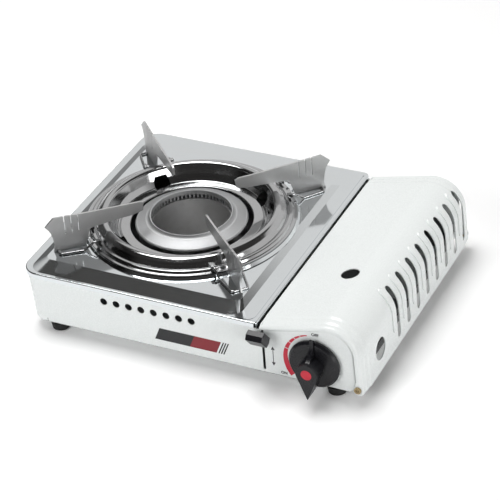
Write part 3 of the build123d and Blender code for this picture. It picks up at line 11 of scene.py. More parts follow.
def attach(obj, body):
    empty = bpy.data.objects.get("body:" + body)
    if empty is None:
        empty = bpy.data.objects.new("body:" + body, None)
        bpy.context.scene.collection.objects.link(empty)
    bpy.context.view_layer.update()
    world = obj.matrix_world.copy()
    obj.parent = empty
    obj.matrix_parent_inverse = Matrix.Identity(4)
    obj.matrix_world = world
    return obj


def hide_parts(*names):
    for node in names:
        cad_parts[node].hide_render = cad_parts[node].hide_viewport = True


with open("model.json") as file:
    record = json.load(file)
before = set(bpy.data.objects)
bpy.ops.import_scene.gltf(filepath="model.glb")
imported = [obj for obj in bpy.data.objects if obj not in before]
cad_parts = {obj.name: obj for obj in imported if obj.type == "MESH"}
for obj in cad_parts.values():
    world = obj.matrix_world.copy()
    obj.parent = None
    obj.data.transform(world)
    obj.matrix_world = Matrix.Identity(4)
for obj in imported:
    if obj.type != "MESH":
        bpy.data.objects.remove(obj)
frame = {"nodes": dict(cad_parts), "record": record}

logging.basicConfig(level=logging.INFO, format="%(name)s: %(message)s")
LOG = logging.getLogger("stove")
MM = 0.001
BURNER = (-55.7, 6.3)       # x, y of the burner axis in millimetres
MIDDLE = (0.0, 0.0, 0.05)   # point that the lamps face, in metres
SMOOTH = 30.0               # largest angle in degrees shaded smooth on the solids and the bowl
CAP_SHARE = 0.7             # height of a capital letter as a share of the text size
STROKE = 0.18               # how much the letters are thickened, in millimetres


class Axis3(Enum):
    """How a finish's grain is drawn out along X, Y and Z."""

    ALONG_Y = (30.0, 1.0, 30.0)
    EVEN = (1.0, 1.0, 1.0)


class Surface(Enum):
    """Finishes that the stove's pieces wear."""

    PAINT = "body_paint"
    TRAY = "steel_tray"
    CHROME = "chrome"
    BURNER = "burner_steel"
    CAST = "burner_cast"
    SUPPORT = "support_steel"
    ZINC = "zinc_sheet"
    BRASS = "brass"
    DIE_CAST = "die_cast"
    SCREW = "screw_steel"
    BLACK = "black_plastic"
    WHITE = "white_plastic"
    RED = "red_plastic"
    RUBBER = "black_rubber"
    CERAMIC = "ceramic"


def mm(*values: float) -> Vector:
    """Millimetres to a vector in metres."""
    return Vector([value * MM for value in values])


class GroupShelf:
    """Shader node groups shared by the materials, each built once.

    Attributes:
        core_middle: middle of the case's inside in millimetres.
        core_half: half its width and depth, less the rounding.
        core_round: rounding of its upright edges, the sheet's inner face included.
        core_height: middle and half of its height.
        core_lean: how far its left wall leans per unit of height.
    """

    core_middle = (-3.0, 9.0, 0.0)
    core_half = (144.0, 110.5, 0.0)
    core_round = 17.4
    core_height = (32.8, 23.2)
    core_lean = 0.058

    def __init__(self) -> None:
        """Build the grain, smudge, turning and painted-shade interior groups."""
        self.grain = self._grain()
        self.smudge = self._smudge()
        self.rings = self._rings()
        self.core = self._core()

    @staticmethod
    def _open(
        name: str, inputs: list[tuple[str, str, float]], outputs: list[tuple[str, str]]
    ) -> tuple[bpy.types.ShaderNodeTree, bpy.types.Node, bpy.types.Node]:
        """Start a group with its sockets.

        Args:
            name: the group's name.
            inputs: socket name, socket type and default of each input.
            outputs: socket name and type of each output.

        Returns:
            The node tree, its input node and its output node.
        """
        tree = bpy.data.node_groups.new(name, "ShaderNodeTree")
        for label, kind, default in inputs:
            socket = tree.interface.new_socket(label, in_out="INPUT", socket_type=kind)
            if kind == "NodeSocketFloat":
                socket.default_value = default
        for label, kind in outputs:
            tree.interface.new_socket(label, in_out="OUTPUT", socket_type=kind)
        return tree, tree.nodes.new("NodeGroupInput"), tree.nodes.new("NodeGroupOutput")

    def _grain(self) -> bpy.types.ShaderNodeTree:
        """Fine surface grain: a height for a bump and a small roughness change.

        Returns:
            The group's node tree.
        """
        tree, enter, leave = self._open(
            "fine_grain",
            [
                ("Place", "NodeSocketVector", 0.0),
                ("Scale", "NodeSocketFloat", 800.0),
                ("Rough Low", "NodeSocketFloat", 0.2),
                ("Rough High", "NodeSocketFloat", 0.3),
            ],
            [("Height", "NodeSocketFloat"), ("Roughness", "NodeSocketFloat")],
        )
        noise = tree.nodes.new("ShaderNodeTexNoise")
        noise.inputs["Detail"].default_value = 5.0
        noise.inputs["Roughness"].default_value = 0.6
        spread = tree.nodes.new("ShaderNodeMapRange")
        spread.inputs["From Min"].default_value = 0.35
        spread.inputs["From Max"].default_value = 0.65
        link = tree.links.new
        link(enter.outputs["Place"], noise.inputs["Vector"])
        link(enter.outputs["Scale"], noise.inputs["Scale"])
        link(noise.outputs["Fac"], spread.inputs["Value"])
        link(enter.outputs["Rough Low"], spread.inputs["To Min"])
        link(enter.outputs["Rough High"], spread.inputs["To Max"])
        link(noise.outputs["Fac"], leave.inputs["Height"])
        link(spread.outputs["Result"], leave.inputs["Roughness"])
        return tree

    def _smudge(self) -> bpy.types.ShaderNodeTree:
        """Soft handling marks: a mask from two layers of cloudy noise.

        Returns:
            The group's node tree.
        """
        tree, enter, leave = self._open(
            "smudges",
            [
                ("Place", "NodeSocketVector", 0.0),
                ("Scale", "NodeSocketFloat", 18.0),
                ("Amount", "NodeSocketFloat", 0.3),
            ],
            [("Mask", "NodeSocketFloat")],
        )
        broad = tree.nodes.new("ShaderNodeTexNoise")
        broad.inputs["Detail"].default_value = 3.0
        fine = tree.nodes.new("ShaderNodeTexNoise")
        fine.inputs["Scale"].default_value = 160.0
        fine.inputs["Detail"].default_value = 2.0
        both = tree.nodes.new("ShaderNodeMath")
        both.operation = "MULTIPLY"
        ramp = tree.nodes.new("ShaderNodeMapRange")
        ramp.inputs["From Min"].default_value = 0.2
        ramp.inputs["From Max"].default_value = 0.45
        scale = tree.nodes.new("ShaderNodeMath")
        scale.operation = "MULTIPLY"
        link = tree.links.new
        link(enter.outputs["Place"], broad.inputs["Vector"])
        link(enter.outputs["Scale"], broad.inputs["Scale"])
        link(enter.outputs["Place"], fine.inputs["Vector"])
        link(broad.outputs["Fac"], both.inputs[0])
        link(fine.outputs["Fac"], both.inputs[1])
        link(both.outputs["Value"], ramp.inputs["Value"])
        link(ramp.outputs["Result"], scale.inputs[0])
        link(enter.outputs["Amount"], scale.inputs[1])
        link(scale.outputs["Value"], leave.inputs["Mask"])
        return tree

    def _core(self) -> bpy.types.ShaderNodeTree:
        """Mask of the points inside the case, where painted shade goes: a block with rounded corners and a
        leaning left wall.

        Returns:
            The group's node tree.
        """
        tree, enter, leave = self._open(
            "case_core", [("Place", "NodeSocketVector", 0.0)], [("Mask", "NodeSocketFloat")]
        )
        link = tree.links.new
        split = tree.nodes.new("ShaderNodeSeparateXYZ")
        lean = tree.nodes.new("ShaderNodeMath")
        lean.operation = "MULTIPLY_ADD"
        lean.inputs[1].default_value = self.core_lean
        level = tree.nodes.new("ShaderNodeCombineXYZ")
        steps = (
            ("SUBTRACT", mm(*self.core_middle)),
            ("ABSOLUTE", None),
            ("SUBTRACT", mm(*self.core_half)),
            ("MAXIMUM", mm(0.0, 0.0, 0.0)),
            ("LENGTH", None),
        )
        link(enter.outputs["Place"], split.inputs["Vector"])
        link(split.outputs["Z"], lean.inputs[0])
        link(split.outputs["X"], lean.inputs[2])
        link(lean.outputs["Value"], level.inputs["X"])
        link(split.outputs["Y"], level.inputs["Y"])
        last = level.outputs["Vector"]
        for kind, value in steps:
            step = tree.nodes.new("ShaderNodeVectorMath")
            step.operation = kind
            if value is not None:
                step.inputs[1].default_value = value
            link(last, step.inputs[0])
            last = step.outputs["Value" if kind == "LENGTH" else "Vector"]
        within = tree.nodes.new("ShaderNodeMath")
        within.operation = "LESS_THAN"
        within.inputs[1].default_value = self.core_round * MM
        height = tree.nodes.new("ShaderNodeMath")
        height.operation = "COMPARE"
        height.inputs[1].default_value = self.core_height[0] * MM
        height.inputs[2].default_value = self.core_height[1] * MM
        both = tree.nodes.new("ShaderNodeMath")
        both.operation = "MULTIPLY"
        link(last, within.inputs[0])
        link(split.outputs["Z"], height.inputs[0])
        link(within.outputs["Value"], both.inputs[0])
        link(height.outputs["Value"], both.inputs[1])
        link(both.outputs["Value"], leave.inputs["Mask"])
        return tree

    def _rings(self) -> bpy.types.ShaderNodeTree:
        """Fine concentric lines that a lathe leaves, as a height.

        Returns:
            The group's node tree.
        """
        tree, enter, leave = self._open(
            "turned_rings",
            [("Place", "NodeSocketVector", 0.0), ("Amount", "NodeSocketFloat", 1.0)],
            [("Height", "NodeSocketFloat")],
        )
        flat = tree.nodes.new("ShaderNodeVectorMath")
        flat.operation = "MULTIPLY"
        flat.inputs[1].default_value = (1.0, 1.0, 0.0)
        radius = tree.nodes.new("ShaderNodeVectorMath")
        radius.operation = "LENGTH"
        lines = tree.nodes.new("ShaderNodeTexNoise")
        lines.noise_dimensions = "1D"
        lines.inputs["Scale"].default_value = 1500.0
        lines.inputs["Detail"].default_value = 3.0
        scale = tree.nodes.new("ShaderNodeMath")
        scale.operation = "MULTIPLY"
        link = tree.links.new
        link(enter.outputs["Place"], flat.inputs[0])
        link(flat.outputs["Vector"], radius.inputs[0])
        link(radius.outputs["Value"], lines.inputs["W"])
        link(lines.outputs["Fac"], scale.inputs[0])
        link(enter.outputs["Amount"], scale.inputs[1])
        link(scale.outputs["Value"], leave.inputs["Height"])
        return tree


@dataclass(frozen=True)
class Finish:
    """One finish: colours, gloss and the scale of its grain.

    Attributes:
        color: base colour.
        mark: colour that smudges and wear tend to.
        metallic: 1 for metals, 0 otherwise.
        rough: lowest and highest roughness.
        grain: noise scale per metre.
        drawn: direction in which the grain is drawn out.
        bump: height of the grain in millimetres.
        smudge: strength of the soft marks.
        coat: clear coat weight.
        specular: specular level of a non-metal.
        turned: strength of fine rings left by turning round the burner axis.
        inside: share of the colour that is kept inside the case, as painted shade where little light gets in;
            1 for no change.
    """

    color: tuple[float, float, float]
    mark: tuple[float, float, float]
    metallic: float = 0.0
    rough: tuple[float, float] = (0.25, 0.35)
    grain: float = 900.0
    drawn: Axis3 = Axis3.EVEN
    bump: float = 0.01
    smudge: float = 0.25
    coat: float = 0.0
    specular: float = 0.5
    turned: float = 0.0
    inside: float = 1.0


# The inside values below are painted shade: they darken a finish's colour on faces inside the case.
FINISHES: dict[Surface, Finish] = {
    Surface.PAINT: Finish(
        (0.815, 0.845, 0.835), (0.75, 0.775, 0.765),
        rough=(0.24, 0.30), grain=1400.0, bump=0.002, smudge=0.12, coat=0.25, inside=0.2,
    ),
    Surface.TRAY: Finish(
        (0.79, 0.82, 0.835), (0.71, 0.735, 0.75),
        metallic=1.0, rough=(0.07, 0.11), grain=160.0, drawn=Axis3.ALONG_Y, bump=0.0008, smudge=0.12,
    ),
    Surface.CHROME: Finish(
        (0.52, 0.525, 0.53), (0.42, 0.42, 0.415),
        metallic=1.0, rough=(0.10, 0.14), grain=300.0, bump=0.0004, smudge=0.15,
    ),
    Surface.BURNER: Finish(
        (0.50, 0.505, 0.51), (0.42, 0.42, 0.41),
        metallic=1.0, rough=(0.54, 0.62), grain=900.0, bump=0.004, smudge=0.15, turned=1.0,
    ),
    Surface.CAST: Finish(
        (0.72, 0.72, 0.72), (0.50, 0.49, 0.48),
        metallic=1.0, rough=(0.32, 0.44), grain=700.0, bump=0.006, smudge=0.35, turned=0.6,
    ),
    Surface.SUPPORT: Finish(
        (0.52, 0.52, 0.52), (0.42, 0.415, 0.41),
        metallic=1.0, rough=(0.42, 0.50), grain=420.0, bump=0.003, smudge=0.2,
    ),
    # Painted shade: the zinc's colour is kept dark so that the sheet inside the case looks unlit; inside=0.3
    # darkens it further there.
    Surface.ZINC: Finish(
        (0.30, 0.305, 0.31), (0.22, 0.22, 0.22),
        metallic=1.0, rough=(0.34, 0.48), grain=260.0, bump=0.004, inside=0.3,
    ),
    Surface.BRASS: Finish(
        (0.50, 0.39, 0.22), (0.32, 0.24, 0.13),
        metallic=1.0, rough=(0.22, 0.36), grain=600.0, bump=0.003, smudge=0.6,
    ),
    Surface.DIE_CAST: Finish(
        (0.22, 0.22, 0.225), (0.15, 0.15, 0.155),
        metallic=0.9, rough=(0.40, 0.55), grain=900.0, bump=0.03, inside=0.4,
    ),
    Surface.SCREW: Finish(
        (0.62, 0.60, 0.55), (0.50, 0.47, 0.42),
        metallic=1.0, rough=(0.20, 0.32), grain=700.0, bump=0.003,
    ),
    Surface.BLACK: Finish(
        (0.008, 0.008, 0.010), (0.018, 0.018, 0.020),
        rough=(0.24, 0.34), grain=1800.0, bump=0.004, smudge=0.3, specular=0.36,
    ),
    Surface.WHITE: Finish(
        (0.70, 0.70, 0.67), (0.6, 0.6, 0.57),
        rough=(0.35, 0.5), grain=900.0,
    ),
    Surface.RED: Finish(
        (0.56, 0.012, 0.035), (0.42, 0.01, 0.02),
        rough=(0.3, 0.4), grain=1200.0, bump=0.004,
    ),
    Surface.RUBBER: Finish(
        (0.010, 0.010, 0.010), (0.03, 0.03, 0.03),
        rough=(0.6, 0.75), grain=1200.0, bump=0.02,
    ),
    Surface.CERAMIC: Finish(
        (0.80, 0.78, 0.74), (0.7, 0.68, 0.64),
        rough=(0.15, 0.25), grain=500.0, bump=0.004,
    ),
}


class Paintbox:
    """Makes one procedural material per finish and hands it to pieces."""

    def __init__(self) -> None:
        """Build the shared groups and an empty cache."""
        self.groups = GroupShelf()
        self._made: dict[str, bpy.types.Material] = {}

    def material(self, name: str, finish: Finish) -> bpy.types.Material:
        """Material for a finish.

        Args:
            name: the material's name.
            finish: colours and gloss.

        Returns:
            The material, made once per name.
        """
        if name in self._made:
            return self._made[name]
        made = bpy.data.materials.new(name)
        made.use_nodes = True
        tree = made.node_tree
        link = tree.links.new
        shader = tree.nodes["Principled BSDF"]
        shader.inputs["Metallic"].default_value = finish.metallic
        shader.inputs["Coat Weight"].default_value = finish.coat
        shader.inputs["Coat Roughness"].default_value = 0.12
        shader.inputs["Specular IOR Level"].default_value = finish.specular
        place = tree.nodes.new("ShaderNodeTexCoord")
        drawn = tree.nodes.new("ShaderNodeMapping")
        drawn.inputs["Scale"].default_value = finish.drawn.value
        grain = tree.nodes.new("ShaderNodeGroup")
        grain.node_tree = self.groups.grain
        grain.inputs["Scale"].default_value = finish.grain
        grain.inputs["Rough Low"].default_value = finish.rough[0]
        grain.inputs["Rough High"].default_value = finish.rough[1]
        smudge = tree.nodes.new("ShaderNodeGroup")
        smudge.node_tree = self.groups.smudge
        smudge.inputs["Amount"].default_value = finish.smudge
        blend = tree.nodes.new("ShaderNodeMix")
        blend.data_type = "RGBA"
        blend.inputs["A"].default_value = (*finish.color, 1.0)
        blend.inputs["B"].default_value = (*finish.mark, 1.0)
        bump = tree.nodes.new("ShaderNodeBump")
        bump.inputs["Strength"].default_value = 0.6
        bump.inputs["Distance"].default_value = finish.bump * MM
        link(place.outputs["Object"], drawn.inputs["Vector"])
        link(drawn.outputs["Vector"], grain.inputs["Place"])
        link(place.outputs["Object"], smudge.inputs["Place"])
        link(smudge.outputs["Mask"], blend.inputs["Factor"])
        if finish.inside < 1.0:
            self._shade_inside(tree, place, blend, shader, finish.inside)
        else:
            link(blend.outputs["Result"], shader.inputs["Base Color"])
        link(grain.outputs["Roughness"], shader.inputs["Roughness"])
        if finish.turned > 0.0:
            self._turn(tree, place, grain, bump, finish.turned)
        else:
            link(grain.outputs["Height"], bump.inputs["Height"])
        link(bump.outputs["Normal"], shader.inputs["Normal"])
        self._made[name] = made
        return made

    def _shade_inside(
        self,
        tree: bpy.types.ShaderNodeTree,
        place: bpy.types.Node,
        blend: bpy.types.Node,
        shader: bpy.types.Node,
        keep: float,
    ) -> None:
        """Darker colour on the faces inside the case, which get little light.

        Args:
            tree: the material's node tree.
            place: its texture coordinate node.
            blend: node with the outside colour.
            shader: the material's shader.
            keep: share of the colour that is kept.
        """
        core = tree.nodes.new("ShaderNodeGroup")
        core.node_tree = self.groups.core
        # Painted shade: this node multiplies the colour down inside the case, where little light gets in.
        thin = tree.nodes.new("ShaderNodeMix")
        thin.data_type = "RGBA"
        thin.blend_type = "MULTIPLY"
        thin.inputs["B"].default_value = (keep, keep, keep, 1.0)
        tree.links.new(place.outputs["Object"], core.inputs["Place"])
        tree.links.new(core.outputs["Mask"], thin.inputs["Factor"])
        tree.links.new(blend.outputs["Result"], thin.inputs["A"])
        tree.links.new(thin.outputs["Result"], shader.inputs["Base Color"])

    def _turn(
        self,
        tree: bpy.types.ShaderNodeTree,
        place: bpy.types.Node,
        grain: bpy.types.Node,
        bump: bpy.types.Node,
        amount: float,
    ) -> None:
        """Add turning lines round the burner axis to a material's height.

        Args:
            tree: the material's node tree.
            place: its texture coordinate node.
            grain: its grain group node.
            bump: its bump node.
            amount: strength of the lines.
        """
        centre = tree.nodes.new("ShaderNodeMapping")
        centre.inputs["Location"].default_value = (-BURNER[0] * MM, -BURNER[1] * MM, 0.0)
        rings = tree.nodes.new("ShaderNodeGroup")
        rings.node_tree = self.groups.rings
        rings.inputs["Amount"].default_value = amount
        both = tree.nodes.new("ShaderNodeMath")
        both.operation = "ADD"
        tree.links.new(place.outputs["Object"], centre.inputs["Vector"])
        tree.links.new(centre.outputs["Vector"], rings.inputs["Place"])
        tree.links.new(rings.outputs["Height"], both.inputs[0])
        tree.links.new(grain.outputs["Height"], both.inputs[1])
        tree.links.new(both.outputs["Value"], bump.inputs["Height"])

    def surface(self, surface: Surface) -> bpy.types.Material:
        """Material of a named surface."""
        return self.material("stove_" + surface.value, FINISHES[surface])

    def dress(self, piece: bpy.types.Object, material: bpy.types.Material) -> None:
        """Put a material in every slot of a piece.

        Args:
            piece: the object to dress.
            material: the material it gets.
        """
        if not piece.material_slots:
            piece.data.materials.append(material)
        for spot in piece.material_slots:
            spot.material = material


def only(piece: bpy.types.Object) -> None:
    """Select one object and make it active.

    Args:
        piece: the object.
    """
    bpy.ops.object.select_all(action="DESELECT")
    piece.select_set(True)
    bpy.context.view_layer.objects.active = piece


def settle(piece: bpy.types.Object, name: str, angle: float = 35.0) -> bpy.types.Object:
    """Name a finished piece, apply its place and smooth its faces.

    Args:
        piece: the object.
        name: its name.
        angle: largest angle in degrees that is shaded smooth.

    Returns:
        The same object.
    """
    only(piece)
    bpy.ops.object.transform_apply(location=True, rotation=True, scale=True)
    bpy.ops.object.shade_smooth_by_angle(angle=math.radians(angle))
    piece.name = name
    piece.data.name = name
    return piece


@dataclass
class Studio:
    """Camera, lamps, world and floor.

    Attributes:
        focal: lens in millimetres.
        sensor: width of the sensor in millimetres.
        azimuth: direction to the camera in degrees, 0 from the front.
        elevation: height angle of the camera in degrees.
        roll: turn of the picture in degrees.
        reach: distance of the camera in millimetres.
        offset: shift of the camera to its right and up in millimetres.
        shift: shift of the point it looks at in millimetres.
        lamps: name, place in metres, width and height in metres, watts, and whether metal mirrors it.
        behind_tones: height and grey of the tent beyond the stove.
        before_tones: height and grey of the room on the camera's side.
        warmth: how much blue the darks of the tent and of the room lose.
        turn: depth of the view between which the room gives way to the tent.
        left_turn: width of the view between which the left side darkens.
        left_keep: share of the light that the left side keeps.
        backdrop: grey that the camera sees behind the stove.
        strength: strength of the world's light.
        paper_size: side of the floor in metres.
        paper: colour of the floor as lamps and metal see it.
        paper_rough: its roughness.
        paper_glow: light that it adds where the camera sees it.
    """

    focal: float = 158.34
    sensor: float = 36.0
    azimuth: float = 27.787
    elevation: float = 34.109
    roll: float = -4.538
    reach: float = 2063.43
    offset: tuple[float, float] = (2.502, 26.287)
    shift: tuple[float, float, float] = (-1.5, 9.0, 9.0)
    lamps: tuple[tuple[str, tuple[float, float, float], tuple[float, float], float, bool], ...] = (
        ("top", (-0.42, 0.22, 1.85), (1.05, 1.05), 28.0, True),
        ("front", (-0.9, -1.9, 1.1), (1.0, 1.0), 23.0, False),
        ("side", (1.9, -0.8, 0.42), (1.1, 0.7), 14.0, True),
    )
    behind_tones: tuple[tuple[float, float], ...] = (
        (0.0, 0.80), (0.60, 0.84), (0.675, 0.74), (0.695, 0.06), (0.86, 0.05), (1.0, 0.05),
    )
    before_tones: tuple[tuple[float, float], ...] = ((0.0, 0.14), (0.15, 0.06), (0.5, 0.04), (1.0, 0.05))
    warmth: tuple[float, float] = (0.08, 0.06)
    turn: tuple[float, float] = (-0.25, 0.15)
    left_turn: tuple[float, float] = (-0.72, -0.52)
    left_keep: float = 0.12
    backdrop: float = 1.12
    strength: float = 0.9
    paper_size: float = 24.0
    paper: tuple[float, float, float] = (0.93, 0.935, 0.94)
    paper_rough: float = 0.55
    paper_glow: float = 0.06

    def camera(self) -> None:
        """Place the camera from its angles."""
        turn, lift, roll = (math.radians(v) for v in (self.azimuth, self.elevation, self.roll))
        back = Vector((math.sin(turn) * math.cos(lift), -math.cos(turn) * math.cos(lift), math.sin(lift)))
        right = Vector((math.cos(turn), math.sin(turn), 0.0))
        up = Vector((-math.sin(turn) * math.sin(lift), math.cos(turn) * math.sin(lift), math.cos(lift)))
        spot = back * self.reach + right * self.offset[0] + up * self.offset[1] + Vector(self.shift)
        across = right * math.cos(roll) + up * math.sin(roll)
        rise = up * math.cos(roll) - right * math.sin(roll)
        data = bpy.data.cameras.new("camera")
        data.lens = self.focal
        data.sensor_width = self.sensor
        data.clip_end = 50.0
        camera = bpy.data.objects.new("camera", data)
        bpy.context.scene.collection.objects.link(camera)
        turned = Matrix((across, rise, back)).transposed().to_4x4()
        turned.translation = spot * MM
        camera.matrix_world = turned
        bpy.context.scene.camera = camera

    def lamp(
        self,
        name: str,
        place: tuple[float, float, float],
        size: tuple[float, float],
        power: float,
        mirrored: bool,
    ) -> None:
        """One soft box.

        Args:
            name: the lamp's name.
            place: its middle in metres.
            size: width and height in metres.
            power: watts.
            mirrored: whether bright metal shows it.
        """
        data = bpy.data.lights.new(name, "AREA")
        data.shape = "RECTANGLE"
        data.size, data.size_y = size
        data.energy = power
        lamp = bpy.data.objects.new(name, data)
        bpy.context.scene.collection.objects.link(lamp)
        lamp.visible_glossy = mirrored
        lamp.location = place
        lamp.rotation_euler = (Vector(MIDDLE) - Vector(place)).to_track_quat("-Z", "Y").to_euler()

    @staticmethod
    def _ramp(
        tree: bpy.types.ShaderNodeTree, stops: tuple[tuple[float, float], ...], warm: float
    ) -> bpy.types.ShaderNode:
        """Colour ramp from position and grey pairs; the darks are slightly warm.

        Args:
            tree: node tree that gets the ramp.
            stops: position and grey of each stop.
            warm: how much blue the darks lose.

        Returns:
            The ramp node.
        """
        node = tree.nodes.new("ShaderNodeValToRGB")
        ramp = node.color_ramp
        while len(ramp.elements) > 1:
            ramp.elements.remove(ramp.elements[-1])
        for index, (place, grey) in enumerate(stops):
            stop = ramp.elements[0] if index == 0 else ramp.elements.new(place)
            stop.position = place
            tint = warm * (1.0 - min(grey, 1.0))
            stop.color = (grey, grey * (1.0 - tint * 0.5), grey * (1.0 - tint), 1.0)
        return node

    def world(self) -> None:
        """Tent of pale paper with a dark gap below the top light, darker on the camera's side and left."""
        world = bpy.data.worlds.new("studio")
        bpy.context.scene.world = world
        world.use_nodes = True
        tree = world.node_tree
        shade = tree.nodes["Background"]
        place = tree.nodes.new("ShaderNodeTexCoord")
        split = tree.nodes.new("ShaderNodeSeparateXYZ")
        behind = self._ramp(tree, self.behind_tones, self.warmth[0])
        before = self._ramp(tree, self.before_tones, self.warmth[1])
        side = tree.nodes.new("ShaderNodeMapRange")
        side.inputs["From Min"].default_value = self.turn[0]
        side.inputs["From Max"].default_value = self.turn[1]
        mix = tree.nodes.new("ShaderNodeMix")
        mix.data_type = "RGBA"
        link = tree.links.new
        link(place.outputs["Generated"], split.inputs["Vector"])
        link(split.outputs["Z"], behind.inputs["Fac"])
        link(split.outputs["Z"], before.inputs["Fac"])
        link(split.outputs["Y"], side.inputs["Value"])
        link(side.outputs["Result"], mix.inputs["Factor"])
        link(before.outputs["Color"], mix.inputs["A"])
        link(behind.outputs["Color"], mix.inputs["B"])
        path = tree.nodes.new("ShaderNodeLightPath")
        seen = tree.nodes.new("ShaderNodeMix")
        seen.data_type = "RGBA"
        seen.inputs["B"].default_value = (self.backdrop, self.backdrop, self.backdrop, 1.0)
        link(path.outputs["Is Camera Ray"], seen.inputs["Factor"])
        left = tree.nodes.new("ShaderNodeMapRange")
        left.inputs["From Min"].default_value = self.left_turn[0]
        left.inputs["From Max"].default_value = self.left_turn[1]
        left.inputs["To Min"].default_value = self.left_keep
        dim = tree.nodes.new("ShaderNodeMix")
        dim.data_type = "RGBA"
        dim.blend_type = "MULTIPLY"
        dim.inputs["Factor"].default_value = 1.0
        link(split.outputs["X"], left.inputs["Value"])
        link(mix.outputs["Result"], dim.inputs["A"])
        link(left.outputs["Result"], dim.inputs["B"])
        link(dim.outputs["Result"], seen.inputs["A"])
        link(seen.outputs["Result"], shade.inputs["Color"])
        shade.inputs["Strength"].default_value = self.strength

    def floor(self) -> None:
        """Wide pale floor that keeps the shadow."""
        bpy.ops.object.select_all(action="DESELECT")
        bpy.ops.mesh.primitive_plane_add(size=self.paper_size, location=(0.0, 0.0, 0.0))
        floor = bpy.context.active_object
        floor.name = "floor"
        paper = bpy.data.materials.new("floor_paper")
        paper.use_nodes = True
        shader = paper.node_tree.nodes["Principled BSDF"]
        shader.inputs["Roughness"].default_value = self.paper_rough
        path = paper.node_tree.nodes.new("ShaderNodeLightPath")
        lift = paper.node_tree.nodes.new("ShaderNodeMath")
        lift.operation = "MULTIPLY"
        lift.inputs[1].default_value = self.paper_glow
        shade = paper.node_tree.nodes.new("ShaderNodeMix")
        shade.data_type = "RGBA"
        shade.inputs["A"].default_value = (*self.paper, 1.0)
        shade.inputs["B"].default_value = (1.0, 1.0, 1.0, 1.0)
        paper.node_tree.links.new(path.outputs["Is Camera Ray"], shade.inputs["Factor"])
        paper.node_tree.links.new(shade.outputs["Result"], shader.inputs["Base Color"])
        shader.inputs["Emission Color"].default_value = (1.0, 1.0, 1.0, 1.0)
        paper.node_tree.links.new(path.outputs["Is Camera Ray"], lift.inputs[0])
        paper.node_tree.links.new(lift.outputs["Value"], shader.inputs["Emission Strength"])
        floor.data.materials.append(paper)

    def build(self) -> None:
        """Set the studio up."""
        scene = bpy.context.scene
        scene.view_settings.view_transform = "Standard"
        self.camera()
        self.world()
        self.floor()
        for lamp in self.lamps:
            self.lamp(*lamp)
        LOG.info("studio ready")


